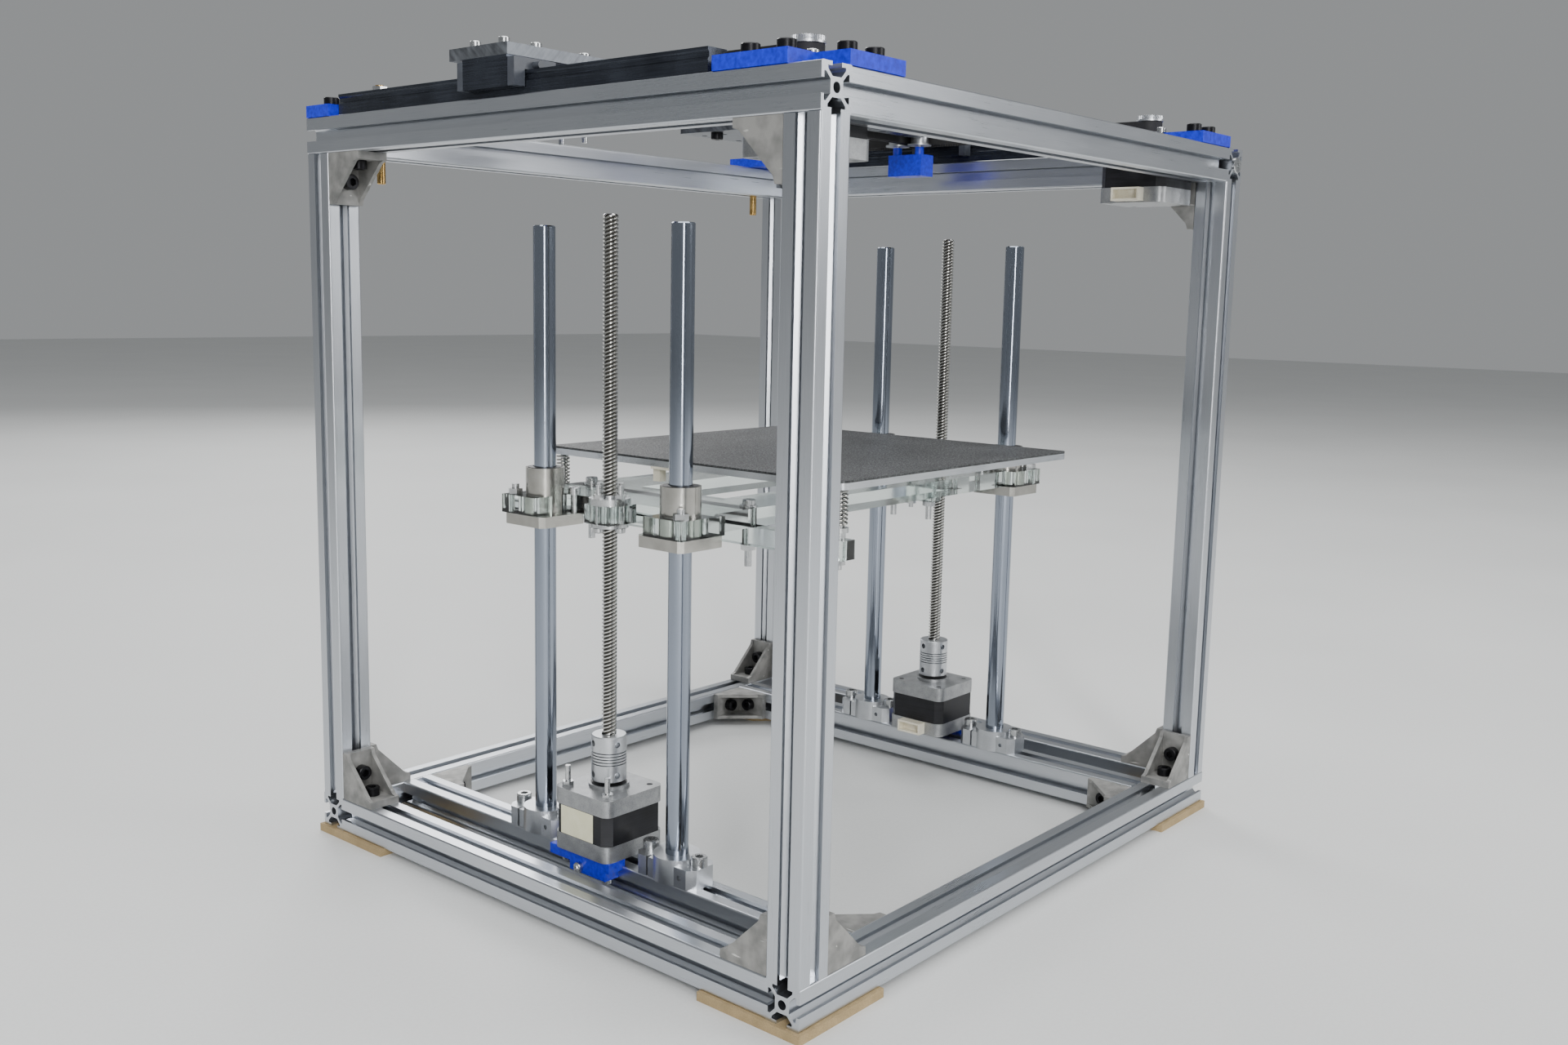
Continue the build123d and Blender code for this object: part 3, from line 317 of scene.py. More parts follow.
@dataclass(frozen=True)
class BuildSheet:
    """Coated build sheet: near black, with the glitter of a coarse powder grain."""

    name: str = "powder_build_sheet"
    dark: str = "#151617"
    light: str = "#5A5C5D"
    grit_mm: float = 0.9

    def build(self) -> bpy.types.Material:
        """Make the material.

        Returns:
            The material, ready for a slot.
        """
        shader = Shader(self.name)
        placed = shader.add("ShaderNodeMapping", {"Vector": shader.place,
                                                  "Scale": [1 / (self.grit_mm * MM)] * 3})
        grit = shader.add("ShaderNodeTexVoronoi", {"Vector": placed.outputs[0], "Scale": 1.0})
        haze = shader.spots(30.0, Grain.EVEN.value, 2.0)
        sparkle = shader.ramp(grit.outputs["Distance"], 0.30, 0.75)
        tone = shader.add("ShaderNodeMath", {0: sparkle, 1: shader.ramp(haze, 0.3, 0.7, 0.5, 1.0)},
                          operation="MULTIPLY").outputs[0]
        shader.feed("Base Color", shader.mix(tone, linear(self.dark), linear(self.light)))
        shader.feed("Roughness", shader.ramp(sparkle, 0.0, 1.0, 0.66, 0.46))
        shader.feed("Specular IOR Level", 0.35)
        shader.relief(grit.outputs["Distance"], 0.12)
        return shader.material


@dataclass(frozen=True)
class ClearAcrylic:
    """Cast acrylic sheet, laser cut: clear with a faint green and a slightly hazy gloss."""

    name: str = "clear_acrylic"
    tint: str = "#F2FAF7"

    def build(self) -> bpy.types.Material:
        """Make the material.

        Returns:
            The material, ready for a slot.
        """
        shader = Shader(self.name)
        haze = shader.spots(14.0, Grain.EVEN.value, 2.0)
        shader.feed("Base Color", linear(self.tint))
        shader.feed("Transmission Weight", 1.0)
        shader.feed("IOR", 1.49)
        shader.feed("Roughness", shader.ramp(haze, 0.3, 0.7, 0.03, 0.10))
        shader.relief(haze, 0.01)
        return shader.material


@dataclass(frozen=True)
class MilledBar:
    """Milled grey aluminium bar: faint slanting cutter marks, unevenly spaced."""

    name: str = "milled_grey_bar"
    dark: str = "#595C61"
    light: str = "#83878D"
    mark_mm: tuple[float, float] = (1.6, 22.0)    # width and length of a cutter mark

    def build(self) -> bpy.types.Material:
        """Make the material.

        Returns:
            The material, ready for a slot.
        """
        shader = Shader(self.name)
        wide, long = (size * MM for size in self.mark_mm)
        turned = shader.add("ShaderNodeMapping", {"Vector": shader.place, "Scale": (wide, long, long),
                                                  "Rotation": (0, math.radians(35), math.radians(38))},
                            vector_type="TEXTURE")
        marks = shader.add("ShaderNodeTexNoise", {"Vector": turned.outputs[0], "Scale": 1.0, "Detail": 3.0})
        cloud = shader.spots(7.0, Grain.EVEN.value)
        both = shader.add("ShaderNodeMath", {0: marks.outputs["Fac"], 1: cloud}, operation="ADD").outputs[0]
        tone = shader.ramp(both, 0.75, 1.25)
        shader.feed("Base Color", shader.mix(tone, linear(self.dark), linear(self.light)))
        shader.feed("Metallic", 0.85)
        shader.feed("Roughness", shader.ramp(tone, 0.0, 1.0, 0.36, 0.5))
        shader.relief(marks.outputs["Fac"], 0.02)
        return shader.material


def drawn(grain: Grain) -> Finish:
    """Clear-anodised extrusion: pale satin metal with faint die lines along its length.

    Args:
        grain: The way the die lines run.

    Returns:
        The finish.
    """
    return Finish(f"anodised_{grain.name.lower()}", "#C1C5CB", "#CACDD2", (0.27, 0.31), 1.0,
                  90.0, 0.5, 0.0008, grain)


AnyFinish = Finish | PrintedPlastic | CastAlloy | BuildSheet | ClearAcrylic | MilledBar


class Workshop:
    """Makes each finish once and hands out its material."""

    def __init__(self) -> None:
        """Start with nothing made."""
        self.made: dict[str, bpy.types.Material] = {}

    def get(self, finish: AnyFinish) -> bpy.types.Material:
        """Give a finish's material.

        Args:
            finish: Any of the finish classes.

        Returns:
            Its material, made on first use.
        """
        if finish.name not in self.made:
            self.made[finish.name] = finish.build()
        return self.made[finish.name]


# Black oxide: nearly black steel with an oily sheen.
BLACK_OXIDE = Finish("black_oxide", "#0E0E10", "#232326", (0.28, 0.42), 0.7, 3.0, 0.3, 0.01)
# Bright zinc plate: cool silver, slightly cloudy.
ZINC = Finish("bright_zinc", "#A9ABAD", "#CFD0D0", (0.18, 0.32), 1.0, 4.0, 0.3, 0.006)
# Hardened chromed shaft: a clear mirror with a blue-grey body.
CHROME = Finish("hard_chrome", "#8B93A0", "#989FAB", (0.10, 0.14), 1.0, 60.0, 0.4, 0.001)
# Turned stainless steel: bright with a fine ring grain.
TURNED_STEEL = Finish("turned_stainless", "#C2C1BD", "#D2D1CE", (0.18, 0.26), 1.0, 60.0, 0.3, 0.004)
# Satin machined aluminium: pale and even.
SATIN_ALLOY = Finish("satin_alloy", "#B9BCC0", "#D2D4D7", (0.28, 0.4), 1.0, 12.0, 0.35, 0.01)
# Rolled bed plate: pale satin with a faint grain along X.
BED_ALLOY = Finish("rolled_bed_plate", "#BFC3C8", "#D6D9DC", (0.25, 0.38), 1.0, 30.0, 0.5, 0.006, Grain.ALONG_X)
# Die-cast motor cap: duller, slightly grainy grey.
DIE_CAST = Finish("die_cast_cap", "#8E9092", "#B2B3B4", (0.36, 0.5), 0.9, 6.0, 0.45, 0.03)
# Varnished laminations: black with level lines from the stacked sheets.
LAMINATION = Finish("varnished_laminations", "#0B0B0D", "#1D1D22", (0.30, 0.46), 0.3, 8.0, 0.5, 0.03,
                    Grain.LEVEL)
# Nickel plate: a warm mirror, a little duller than chrome.
NICKEL = Finish("nickel_plate", "#9C9A94", "#BDBBB5", (0.14, 0.26), 1.0, 8.0, 0.3, 0.004)
# Brass: turned, slightly tarnished.
BRASS = Finish("turned_brass", "#A9854A", "#CFAE70", (0.2, 0.34), 1.0, 5.0, 0.3, 0.008)
# Black rail steel: a dark satin.
RAIL_STEEL = Finish("dark_rail_steel", "#2A2D34", "#454A54", (0.20, 0.32), 0.8, 25.0, 0.5, 0.003, Grain.ALONG_Y)
# Black moulded nylon: soft sheen.
BLACK_NYLON = Finish("black_nylon", "#101011", "#1E1E20", (0.42, 0.58), 0.0, 6.0, 0.4, 0.015)
# Moulded cream nylon of a wire socket.
CREAM_NYLON = Finish("cream_nylon", "#D9D2BC", "#ECE7D6", (0.36, 0.5), 0.0, 5.0, 0.4, 0.01)
# Neoprene belt: matte black with fabric grain.
NEOPRENE = Finish("neoprene_belt", "#0C0C0C", "#1B1B1C", (0.6, 0.78), 0.0, 3.0, 0.25, 0.03)
# Fibreboard: tan with fine fibres.
FIBREBOARD = Finish("fibreboard", "#8E7B58", "#AD9771", (0.75, 0.92), 0.0, 8.0, 0.6, 0.06)
# Paper label: cream, matte.
PAPER = Finish("paper_label", "#D2D0AE", "#DEDCC2", (0.6, 0.75), 0.0, 5.0, 0.4, 0.005)
# Drawn spring wire: greyer than zinc, with a soft shine.
SPRING_STEEL = Finish("drawn_spring_wire", "#807F7B", "#A8A7A2", (0.2, 0.3), 1.0, 4.0, 0.3, 0.004)
# Painted shade in the bottom of a lead screw's thread: dark and dull.
ROOT_SHADE = Finish("painted_thread_root_shade", "#24221F", "#35332F", (0.35, 0.5), 0.6, 40.0, 0.3, 0.01)
# Moulded grey end cap: a satin plastic, lighter than the steel block beside it.
GREY_CAP = Finish("grey_end_cap", "#383B42", "#4B4F57", (0.34, 0.48), 0.1, 6.0, 0.4, 0.012)
PRINTED = PrintedPlastic()
CAST = CastAlloy()
SHEET = BuildSheet()
ACRYLIC = ClearAcrylic()
MILLED = MilledBar()

NODE_FINISHES = {
    "corner_posts": drawn(Grain.ALONG_Z),
    "bottom_front_rear_beams": drawn(Grain.ALONG_X),
    "top_front_rear_beams": drawn(Grain.ALONG_X),
    "bottom_side_beams": drawn(Grain.ALONG_Y),
    "drive_beams": drawn(Grain.ALONG_Y),
    "top_side_beams": drawn(Grain.ALONG_Y),
    "foot_plates": FIBREBOARD,
    "lower_corner_brackets": CAST,
    "upper_corner_brackets": CAST,
    "drive_beam_brackets": CAST,
    "frame_bolts": BLACK_OXIDE,
    "slot_nuts": ZINC,
    "y_rails": RAIL_STEEL,
    "rail_screws": ZINC,
    "motor_plates": PRINTED,
    "idler_plates": PRINTED,
    "drive_brackets": PRINTED,
    "idler_blocks": PRINTED,
    "belt_clamps": PRINTED,
    "motor_end_caps": DIE_CAST,
    "motor_stators": LAMINATION,
    "motor_sockets": CREAM_NYLON,
    "drive_screws": ZINC,
    "rod_supports": SATIN_ALLOY,
    "guide_rods": CHROME,
    "coupler_left": SATIN_ALLOY,
    "coupler_right": SATIN_ALLOY,
    "carriage_plate": ACRYLIC,
    "bed_arms": ACRYLIC,
    "linear_bearings": NICKEL,
    "lead_nuts": ZINC,
    "carriage_bolts": ZINC,
    "spring_seats": ZINC,
    "bed_plate": BED_ALLOY,
    "build_sheet": SHEET,
    "bed_screws": ZINC,
    "levelling_nuts": ZINC,
    "bed_terminal": CREAM_NYLON,
    "y_carriages": RAIL_STEEL,
    "carriage_caps": GREY_CAP,
    "gantry_plate": MILLED,
    "x_rail": RAIL_STEEL,
    "gantry_screws": ZINC,
    "x_carriage": RAIL_STEEL,
    "tool_plate": MILLED,
    "tool_bolts": BLACK_OXIDE,
    "rear_idler_bolts": BRASS,
    "rear_idler_left": SATIN_ALLOY,
    "rear_idler_right": SATIN_ALLOY,
    "gantry_idler_front_left": SATIN_ALLOY,
    "gantry_idler_front_right": SATIN_ALLOY,
    "gantry_idler_rear_left": SATIN_ALLOY,
    "gantry_idler_rear_right": SATIN_ALLOY,
    "lead_screw_left": TURNED_STEEL,
    "lead_screw_right": TURNED_STEEL,
    "bed_springs": SPRING_STEEL,
    "side_belts": NEOPRENE,
    "cross_belt": NEOPRENE,
    "pulley_left": SATIN_ALLOY,
    "pulley_right": SATIN_ALLOY,
}

# Edges of these CAD pieces are broken by this many millimetres.
BROKEN_EDGES_MM = {
    "corner_posts": 0.25,
    "bottom_front_rear_beams": 0.25,
    "bottom_side_beams": 0.25,
    "drive_beams": 0.25,
    "top_side_beams": 0.25,
    "top_front_rear_beams": 0.25,
    "y_rails": 0.3,
    "coupler_left": 0.15,
    "coupler_right": 0.15,
    "lower_corner_brackets": 0.5,
    "upper_corner_brackets": 0.5,
    "drive_beam_brackets": 0.5,
    "motor_plates": 0.5,
    "idler_plates": 0.5,
    "drive_brackets": 0.4,
    "idler_blocks": 0.4,
    "foot_plates": 0.3,
    "gantry_plate": 0.3,
    "rod_supports": 0.4,
    "carriage_plate": 0.25,
    "bed_arms": 0.25,
    "motor_end_caps": 0.35,
    "y_carriages": 0.4,
    "carriage_caps": 0.4,
    "bed_plate": 0.3,
    "tool_plate": 0.3,
}


# --- modelling helpers --------------------------------------------------------------------
def piece(name: str, mesh: bmesh.types.BMesh, material: bpy.types.Material, body: str) -> bpy.types.Object:
    """Turn a finished bmesh into a piece that rides on a body.

    Args:
        name: The piece's name.
        mesh: Its shape, in place; it is freed.
        material: Its finish.
        body: The body that carries it.

    Returns:
        The piece.
    """
    bmesh.ops.remove_doubles(mesh, verts=mesh.verts, dist=1e-6)
    bmesh.ops.recalc_face_normals(mesh, faces=mesh.faces)
    for face in mesh.faces:
        face.smooth = True
    for edge in mesh.edges:
        edge.smooth = len(edge.link_faces) == 2 and edge.calc_face_angle(0.0) < SHARP_ANGLE
    data = bpy.data.meshes.new(name)
    mesh.to_mesh(data)
    mesh.free()
    data.materials.append(material)
    made = bpy.data.objects.new(name, data)
    bpy.context.scene.collection.objects.link(made)
    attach(made, body)
    log.info("%s: %d faces", name, len(data.polygons))
    return made


def turn(mesh: bmesh.types.BMesh, centre: tuple[float, float], outline: list[tuple[float, float]],
         steps: int = 48) -> None:
    """Turn an outline round an upright axis.

    Args:
        mesh: Where the shape is added.
        centre: The axis in plan.
        outline: Radius and height of each point, closed on the axis or on itself.
        steps: Sides of the round.
    """
    points = [mesh.verts.new((centre[0] + r, centre[1], z)) for r, z in outline]
    edges = [mesh.edges.new(pair) for pair in zip(points, points[1:])]
    bmesh.ops.spin(mesh, geom=points + edges, cent=(*centre, 0), axis=(0, 0, 1), angle=FULL_TURN,
                   steps=steps, use_merge=True)


def wind(mesh: bmesh.types.BMesh, centre: tuple[float, float], verts: list, edges: list, pitch: float,
         turns: float, steps: int) -> dict:
    """Wind a profile round an upright axis as it climbs.

    Args:
        mesh: Where the profile is.
        centre: The axis in plan.
        verts: The profile's points.
        edges: The profile's edges.
        pitch: Climb in one turn.
        turns: How many turns.
        steps: Sides of one turn.

    Returns:
        What the last step of the spin holds.
    """
    count = round(turns * steps)
    return bmesh.ops.spin(mesh, geom=verts + edges, cent=(*centre, 0), axis=(0, 0, 1),
                          angle=turns * FULL_TURN, steps=count, dvec=(0, 0, pitch / steps))


def middle(node: str) -> Vector:
    """Find the middle of a CAD node's box.

    Args:
        node: The node's name.

    Returns:
        The box's middle.
    """
    low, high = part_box(node)
    return (Vector(low) + Vector(high)) / 2


# --- sub-assemblies -----------------------------------------------------------------------
@dataclass
class LeadScrew:
    """A four-start trapezoidal screw with a motor shaft in line below it."""

    side: str
    shop: Workshop
    lead: float = 8 * MM
    starts: int = 4
    depth: float = 0.9 * MM
    steps: int = 32
    shaft_radius: float = 2.5 * MM
    shaft_length: float = 19.5 * MM
    gap: float = 2 * MM
    tip: float = 0.7 * MM
    tip_taper: float = 0.8

    def thread_outline(self, radius: float, start: float) -> list[tuple[float, float]]:
        """One lead of the thread's outline.

        Args:
            radius: Over the crests.
            start: Height of the first point.

        Returns:
            Radius and height of each point.
        """
        pitch = self.lead / self.starts
        tooth = [(0.0, 0.0), (0.22, self.depth), (0.50, self.depth), (0.72, 0.0)]
        points = []
        for k in range(self.starts):
            points += [(radius - down, start + (k + along) * pitch) for along, down in tooth]
        return points + [(radius, start + self.lead)]

    def build(self) -> None:
        """Make the threaded screw and the shaft."""
        node = f"lead_screw_{self.side}"
        low, high = (Vector(corner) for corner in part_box(node))
        centre = ((low.x + high.x) / 2, (low.y + high.y) / 2)
        radius = (high.x - low.x) / 2
        bottom = low.z + self.shaft_length + self.gap
        mesh = bmesh.new()
        outline = self.thread_outline(radius, bottom - self.lead)
        verts = [mesh.verts.new((centre[0] + r, centre[1], z)) for r, z in outline]
        edges = [mesh.edges.new(pair) for pair in zip(verts, verts[1:])]
        turns = math.ceil((high.z - bottom) / self.lead) + 1
        wind(mesh, centre, verts, edges, self.lead, turns, self.steps)
        bmesh.ops.remove_doubles(mesh, verts=mesh.verts, dist=1e-6)
        for height, facing in ((bottom, -1), (high.z - self.tip, 1)):
            cut = bmesh.ops.bisect_plane(mesh, geom=mesh.verts[:] + mesh.edges[:] + mesh.faces[:],
                                         plane_co=(0, 0, height), plane_no=(0, 0, facing), clear_outer=True)
            rim = [e for e in cut["geom_cut"] if isinstance(e, bmesh.types.BMEdge)]
            made = bmesh.ops.edgenet_fill(mesh, edges=rim)["faces"]
            if facing > 0:
                raised = bmesh.ops.extrude_face_region(mesh, geom=made)["geom"]
                top = [v for v in raised if isinstance(v, bmesh.types.BMVert)]
                bmesh.ops.translate(mesh, vec=(0, 0, self.tip), verts=top)
                bmesh.ops.scale(mesh, vec=(self.tip_taper, self.tip_taper, 1), verts=top,
                                space=Matrix.Translation((-centre[0], -centre[1], 0)))
                bmesh.ops.delete(mesh, geom=made, context="FACES")
        turn(mesh, centre, [(0, low.z), (self.shaft_radius, low.z),
                            (self.shaft_radius, low.z + self.shaft_length), (0, low.z + self.shaft_length)])
        made = piece(f"threaded_screw_{self.side}", mesh, self.shop.get(TURNED_STEEL),
                     f"lead_drive_{self.side}")
        self.darken_roots(made, centre, radius, bottom)
        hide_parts(node)

    def darken_roots(self, screw: bpy.types.Object, centre: tuple[float, float], radius: float,
                     bottom: float) -> None:
        """Paint shade on the bottom of the thread, as a darker finish of its own.

        Args:
            screw: The threaded piece.
            centre: Its axis in plan.
            radius: Over the crests.
            bottom: Height where the thread starts.
        """
        # The root faces get a second, darker finish: painted shade where the thread's hollows fall into shade.
        screw.data.materials.append(self.shop.get(ROOT_SHADE))
        for face in screw.data.polygons:
            away = math.hypot(face.center.x - centre[0], face.center.y - centre[1])
            if away < radius - 0.8 * self.depth and face.center.z > bottom:
                face.material_index = 1


@dataclass
class BedSprings:
    """Three wire springs under the bed, with closed ends."""

    shop: Workshop
    wire: float = 0.55 * MM
    coil: float = 3.45 * MM
    turns: float = 9.0
    travel: float = 6 * MM
    steps: int = 28

    def build(self) -> None:
        """Make the springs as one piece."""
        low, high = (Vector(corner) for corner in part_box("bed_springs"))
        reach = self.coil + self.wire
        mesh = bmesh.new()
        left, right = low.x + reach, high.x - reach
        for spot in ((left, low.y + reach), (left, high.y - reach), (right, (low.y + high.y) / 2)):
            self.spring(mesh, spot, low.z, high.z)
        made = piece("wire_bed_springs", mesh, self.shop.get(SPRING_STEEL), "bed_carriage")
        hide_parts("bed_springs")
        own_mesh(made)

    def spring(self, mesh: bmesh.types.BMesh, centre: tuple[float, float], bottom: float, top: float) -> None:
        """Wind one spring.

        Args:
            mesh: Where it is added.
            centre: Its axis in plan.
            bottom: Height of its lower end.
            top: Height of its upper end.
        """
        climb = top - bottom - 2 * self.wire
        ring = bmesh.ops.create_circle(mesh, segments=8, radius=self.wire, cap_ends=True)["verts"]
        bmesh.ops.rotate(mesh, verts=ring, cent=(0, 0, 0), matrix=Matrix.Rotation(math.pi / 2, 3, "X"))
        bmesh.ops.translate(mesh, verts=ring, vec=(centre[0] + self.coil, centre[1], bottom + self.wire))
        cap = ring[0].link_faces[0]
        bmesh.ops.spin(mesh, geom=[cap] + cap.edges[:] + ring, cent=(*centre, 0), axis=(0, 0, 1),
                       angle=self.turns * FULL_TURN, steps=round(self.turns * self.steps),
                       dvec=(0, 0, climb / (self.turns * self.steps)))


@dataclass
class Belts:
    """Toothed belts: a loop along each side."""

    shop: Workshop
    tooth: float = 2 * MM
    tooth_depth: float = 0.5 * MM
    wheel: float = 6.2 * MM
    thick: float = 1.3 * MM

    def build(self) -> None:
        """Make both loops."""
        side_low, side_high = (Vector(corner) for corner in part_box("side_belts"))
        mesh = bmesh.new()
        outer = self.wheel + self.thick
        ends = (side_low.y + outer, side_high.y - outer)
        for x in (side_low.x + outer, side_high.x - outer):
            self.loop(mesh, x, ends, side_low.z, side_high.z)
        made = piece("toothed_side_belts", mesh, self.shop.get(NEOPRENE), "frame")
        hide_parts("side_belts")

    def loop(self, mesh: bmesh.types.BMesh, x: float, ends: tuple[float, float], z0: float,
             z1: float) -> None:
        """Make one loop round two wheels, its teeth inside.

        Args:
            mesh: Where it is added.
            x: The wheels' place across the frame.
            ends: The wheels' places along Y.
            z0: Lower edge.
            z1: Upper edge.
        """
        straight = ends[1] - ends[0]
        around = math.pi * self.wheel
        count = 4 * round((2 * straight + 2 * around) / self.tooth)
        rims = []
        for depths in ((0.0, 0.0, 1.0, 1.0), (None,) * 4):
            points = []
            for k in range(count):
                depth = depths[k % 4]
                reach = self.thick if depth is None else self.tooth_depth * (1 - depth)
                points.append(mesh.verts.new((*self.station(x, ends, k / count, reach), z0)))
            rims.append([mesh.edges.new((points[k - 1], points[k])) for k in range(count)])
        flat = bmesh.ops.bridge_loops(mesh, edges=rims[0] + rims[1])["faces"]
        grown = bmesh.ops.extrude_face_region(mesh, geom=flat)["geom"]
        raised = [v for v in grown if isinstance(v, bmesh.types.BMVert)]
        bmesh.ops.translate(mesh, verts=raised, vec=(0, 0, z1 - z0))

    def station(self, x: float, ends: tuple[float, float], share: float, reach: float) -> tuple[float, float]:
        """A point on the loop.

        Args:
            x: The wheels' place across the frame.
            ends: The wheels' places along Y.
            share: How far round the loop, from 0 to 1.
            reach: Distance outward from the loop's inner face.

        Returns:
            Its place in plan.
        """
        straight, around, radius = ends[1] - ends[0], math.pi * self.wheel, self.wheel + reach
        way = share * 2 * (straight + around)
        if way < straight:
            return x + radius, ends[0] + way
        way -= straight
        if way < around:
            angle = way / self.wheel
            return x + radius * math.cos(angle), ends[1] + radius * math.sin(angle)
        way -= around
        if way < straight:
            return x - radius, ends[1] - way
        angle = math.pi + (way - straight) / self.wheel
        return x + radius * math.cos(angle), ends[0] + radius * math.sin(angle)


@dataclass
class Pulley:
    """A motor's belt pulley: toothed drum, flanges, notched hub and a round shaft."""

    side: str
    shop: Workshop
    teeth: int = 20
    drum: float = 5.9 * MM
    flange: float = 8 * MM
    belt_zone: tuple[float, float] = (1.0 * MM, 7.4 * MM)
    hub_top: float = 10.6 * MM
    flange_thick: float = 1 * MM
    height: float = 11.2 * MM
    hub_step: float = 0.3 * MM
    bore: float = 2.5 * MM
    shaft_edge: float = 0.4 * MM
    notch: float = 0.45 * MM

    def build(self) -> None:
        """Make the pulley and its shaft."""
        node = f"pulley_{self.side}"
        low, high = (Vector(corner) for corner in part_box(node))
        centre = ((low.x + high.x) / 2, (low.y + high.y) / 2)
        base = high.z - self.height
        under, over = (base + level for level in self.belt_zone)
        mesh = bmesh.new()
        self.disc(mesh, centre, self.flange, base, base + self.flange_thick, 0)
        self.disc(mesh, centre, self.drum, under, over, self.teeth)
        self.disc(mesh, centre, self.flange, over, over + self.flange_thick, 0)
        self.disc(mesh, centre, self.flange - self.hub_step, over + self.flange_thick, base + self.hub_top,
                  self.teeth * 2)
        bore, edge = self.bore, self.shaft_edge
        turn(mesh, centre, [(0, low.z), (bore, low.z), (bore, high.z - edge), (bore - edge, high.z),
                            (0, high.z)], 32)
        made = piece(f"toothed_pulley_{self.side}", mesh, self.shop.get(SATIN_ALLOY),
                     f"drive_pulley_{self.side}")
        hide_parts(node)

    def disc(self, mesh: bmesh.types.BMesh, centre: tuple[float, float], radius: float, z0: float, z1: float,
             notches: int) -> None:
        """Make a round disc, its rim notched if asked.

        Args:
            mesh: Where it is added.
            centre: Its axis in plan.
            radius: Over its rim.
            z0: Height of its underside.
            z1: Height of its top.
            notches: How many notches its rim has.
        """
        sides = notches * 4 if notches else 64
        rim = bmesh.ops.create_circle(mesh, segments=sides, radius=radius, cap_ends=True)["verts"]
        if notches:
            sunk = [v for k, v in enumerate(rim) if k % 4 in (1, 2)]
            bmesh.ops.scale(mesh, vec=(1 - self.notch / radius,) * 2 + (1,), verts=sunk)
        bmesh.ops.translate(mesh, verts=rim, vec=(*centre, z0))
        grown = bmesh.ops.extrude_face_region(mesh, geom=[rim[0].link_faces[0]])["geom"]
        bmesh.ops.translate(mesh, verts=[v for v in grown if isinstance(v, bmesh.types.BMVert)],
                            vec=(0, 0, z1 - z0))


@dataclass
class MotorTrim:
    """Small parts on the motors: face bearings and a blank label."""

    shop: Workshop
    motor: float = 42.3 * MM
    face_height: float = 27 * MM    # from the stator's underside to the top of the pilot
    bearing: tuple[float, float] = (3.1 * MM, 9.8 * MM)
    bearing_rise: float = 0.15 * MM
    label_size: tuple[float, float, float] = (0.12 * MM, 25 * MM, 15.5 * MM)
    label_shift: float = 2 * MM
    label_height: float = 8 * MM

    def build(self) -> None:
        """Make the trim."""
        base_low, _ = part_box("motor_stators")
        drives = [middle("coupler_left"), middle("coupler_right")]
        face = base_low[2] + self.face_height
        inner, outer = self.bearing
        raised = face + self.bearing_rise
        mesh = bmesh.new()
        for drive in drives:
            turn(mesh, (drive.x, drive.y), [(inner, face), (outer, face), (outer, raised), (inner, raised),
                                            (inner, face)])
        piece("motor_face_bearings", mesh, self.shop.get(BLACK_OXIDE), "frame")
        self.label(drives[0], base_low[2])

    def label(self, drive: Vector, floor: float) -> None:
        """Stick a blank label on the outer face of the left motor.

        Args:
            drive: The motor's axis.
            floor: Height of the stator's underside.
        """
        mesh = bmesh.new()
        corners = bmesh.ops.create_cube(mesh, size=1)["verts"]
        bmesh.ops.scale(mesh, vec=self.label_size, verts=corners)
        wall = drive.x - self.motor / 2
        spot = (wall - self.label_size[0] / 2, drive.y + self.label_shift, floor + self.label_height)
        bmesh.ops.translate(mesh, vec=spot, verts=corners)
        piece("motor_label", mesh, self.shop.get(PAPER), "frame")


@dataclass
class BearingSeals:
    """Black lip seals in the upper ends of the linear bearings."""

    shop: Workshop
    inner: float = 6.15 * MM
    outer: float = 9.3 * MM
    rim: float = 0.2 * MM
    lip: float = 0.5 * MM
    rod: float = 6 * MM

    def build(self) -> None:
        """Make the four seals."""
        rod_low, rod_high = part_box("guide_rods")
        _, bearing_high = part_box("linear_bearings")
        mesh = bmesh.new()
        top = bearing_high[2]
        for x in (rod_low[0] + self.rod, rod_high[0] - self.rod):
            for y in (rod_low[1] + self.rod, rod_high[1] - self.rod):
                turn(mesh, (x, y), [(self.inner, top), (self.outer, top), (self.outer, top + self.rim),
                                    (self.inner + self.lip, top + self.lip), (self.inner, top)])
        piece("bearing_seals", mesh, self.shop.get(BLACK_NYLON), "bed_carriage")


# --- scene --------------------------------------------------------------------------------
def dress_frame(frame: dict, shop: Workshop) -> None:
    """Give every CAD node its finish, and the listed ones broken edges.

    Args:
        shop: Where the finishes come from.
    """
    for name, node in frame["nodes"].items():
        material = shop.get(NODE_FINISHES[name])
        for slot in node.material_slots:
            slot.material = material
        if name in BROKEN_EDGES_MM:
            edge = node.modifiers.new("broken_edges", "BEVEL")
            edge.width = BROKEN_EDGES_MM[name] * MM
            edge.segments = 2
            edge.limit_method = "ANGLE"
            edge.angle_limit = math.radians(50)
            edge.harden_normals = True
        log.info("%s: %s", name, material.name)


def make_floor() -> None:
    """Lay a wide, flat, pale floor."""
    mesh = bmesh.new()
    bmesh.ops.create_grid(mesh, x_segments=1, y_segments=1, size=8)
    data = bpy.data.meshes.new("floor")
    mesh.to_mesh(data)
    mesh.free()
    pale = Finish("pale_floor", "#D6D7D6", "#DCDDDC", (0.6, 0.7), 0.0, 300.0, 2.0, 0.001)
    data.materials.append(pale.build())
    floor = bpy.data.objects.new("floor", data)
    bpy.context.scene.collection.objects.link(floor)


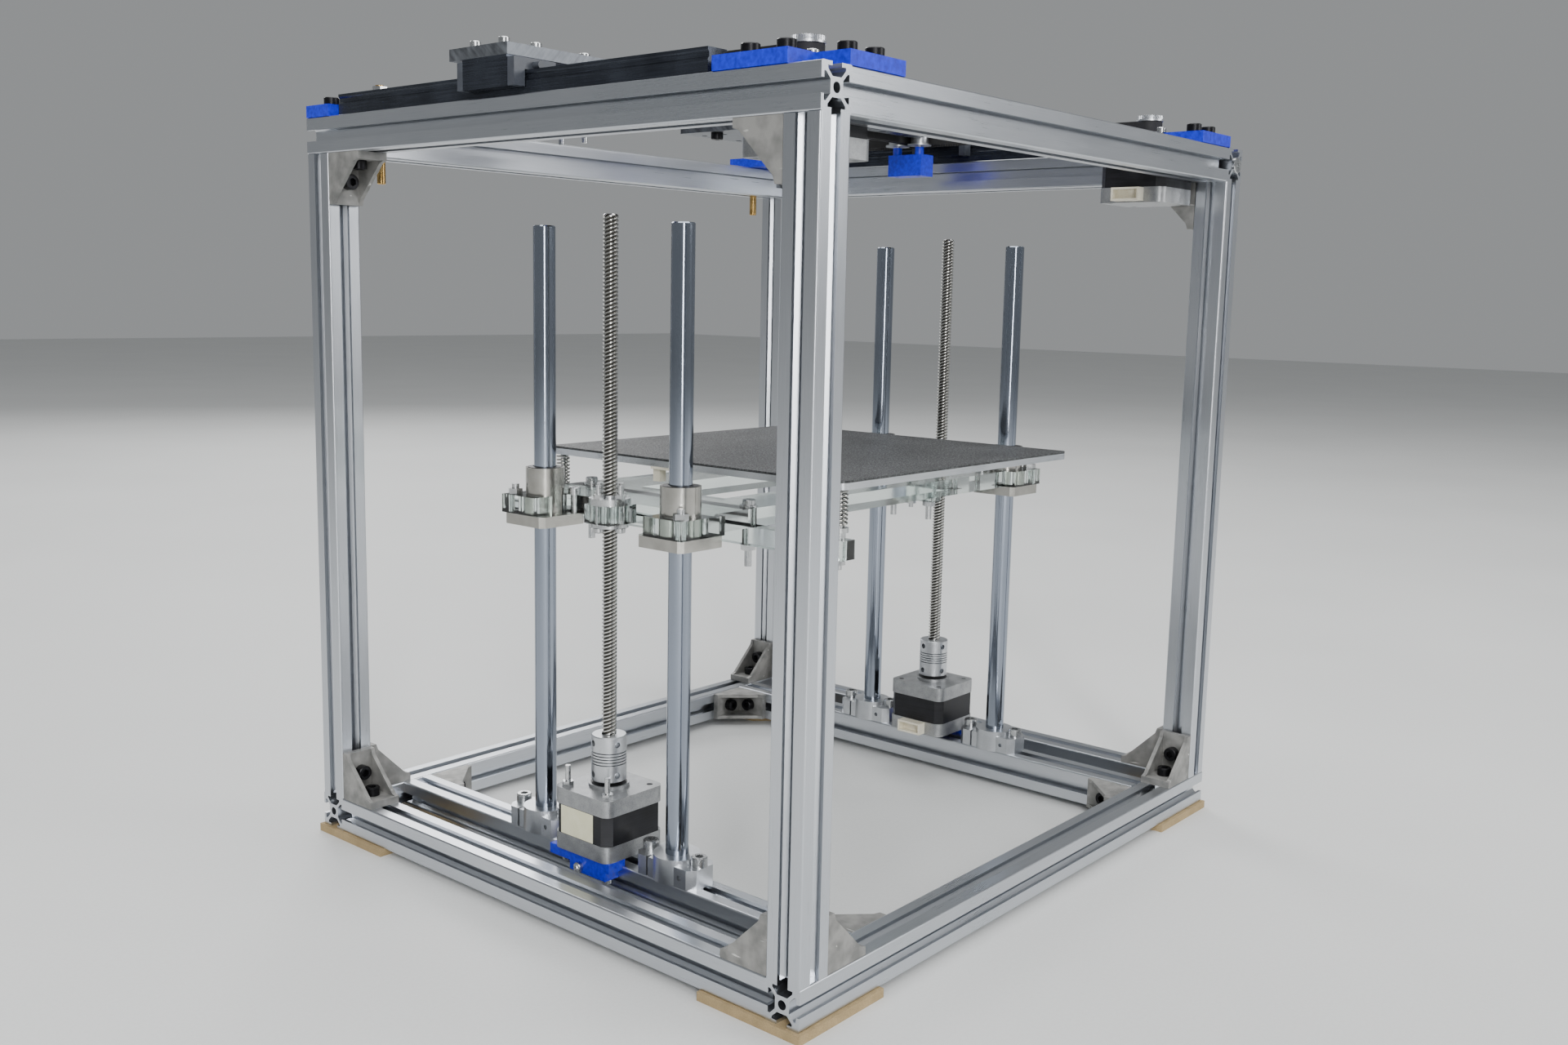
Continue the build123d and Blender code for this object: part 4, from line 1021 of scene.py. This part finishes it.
def add_lamp(name: str, place: tuple[float, float, float], aim: tuple[float, float, float], size: float,
             power: float, height: float | None = None) -> None:
    """Hang a softbox.

    Args:
        name: Its name.
        place: Where it hangs.
        aim: What it points at.
        size: Its width.
        power: Watts.
        height: Its height, if it isn't square.
    """
    data = bpy.data.lights.new(name, "AREA")
    data.shape = "RECTANGLE"
    data.size = size
    data.size_y = height or size
    data.energy = power
    lamp = bpy.data.objects.new(name, data)
    lamp.location = place
    lamp.rotation_euler = (Vector(aim) - Vector(place)).to_track_quat("-Z", "Y").to_euler()
    bpy.context.scene.collection.objects.link(lamp)


def light_studio() -> None:
    """Light the printer softly from above and in front."""
    aim = (0, 0, 0.2)
    add_lamp("key", (-2.0, -1.6, 2.0), aim, 1.4, 60)
    add_lamp("fill", (1.4, -2.4, 1.2), aim, 1.2, 34)
    add_lamp("top", (0.2, 0.2, 2.6), aim, 2.0, 48)
    add_lamp("rim", (1.2, 2.2, 1.6), aim, 1.2, 30)
    # A tall narrow lamp at the level of the machine draws one bright line down each rod and screw.
    add_lamp("strip", (-1.94, -2.16, 1.2), (0, 0, 1.2), 0.3, 42, 2.3)
    world = bpy.data.worlds.new("studio")
    world.use_nodes = True
    world.node_tree.nodes["Background"].inputs["Color"].default_value = linear("#E4E7E9")
    world.node_tree.nodes["Background"].inputs["Strength"].default_value = 0.38
    bpy.context.scene.world = world


def place_camera() -> None:
    """Aim the camera down at the near corner post, slightly rolled."""
    data = bpy.data.cameras.new("camera")
    data.lens = CAMERA_LENS
    data.shift_x, data.shift_y = CAMERA_SHIFT
    data.clip_start = 0.01
    camera = bpy.data.objects.new("camera", data)
    ahead = Vector((math.sin(CAMERA_HEADING) * math.cos(CAMERA_TILT),
                    math.cos(CAMERA_HEADING) * math.cos(CAMERA_TILT), -math.sin(CAMERA_TILT)))
    right = ahead.cross(Vector((0, 0, 1))).normalized()
    up = right.cross(ahead)
    rolled = right * math.cos(CAMERA_ROLL) + up * math.sin(CAMERA_ROLL)
    upright = up * math.cos(CAMERA_ROLL) - right * math.sin(CAMERA_ROLL)
    turned = Matrix((rolled, upright, -ahead)).transposed().to_4x4()
    camera.matrix_world = Matrix.Translation(CAMERA_PLACE) @ turned
    bpy.context.scene.collection.objects.link(camera)
    bpy.context.scene.camera = camera


def main() -> None:
    """Load the frame, dress it, add the detailed pieces, and light it."""
    logging.basicConfig(level=logging.INFO, format="%(message)s")
    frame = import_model()
    shop = Workshop()
    place_camera()
    make_floor()
    light_studio()
    dress_frame(frame, shop)
    for side in ("left", "right"):
        LeadScrew(side, shop).build()
        Pulley(side, shop).build()
    for assembly in (BedSprings(shop), Belts(shop), MotorTrim(shop), BearingSeals(shop)):
        assembly.build()
    bpy.context.view_layer.update()


if __name__ == "__main__":
    main()
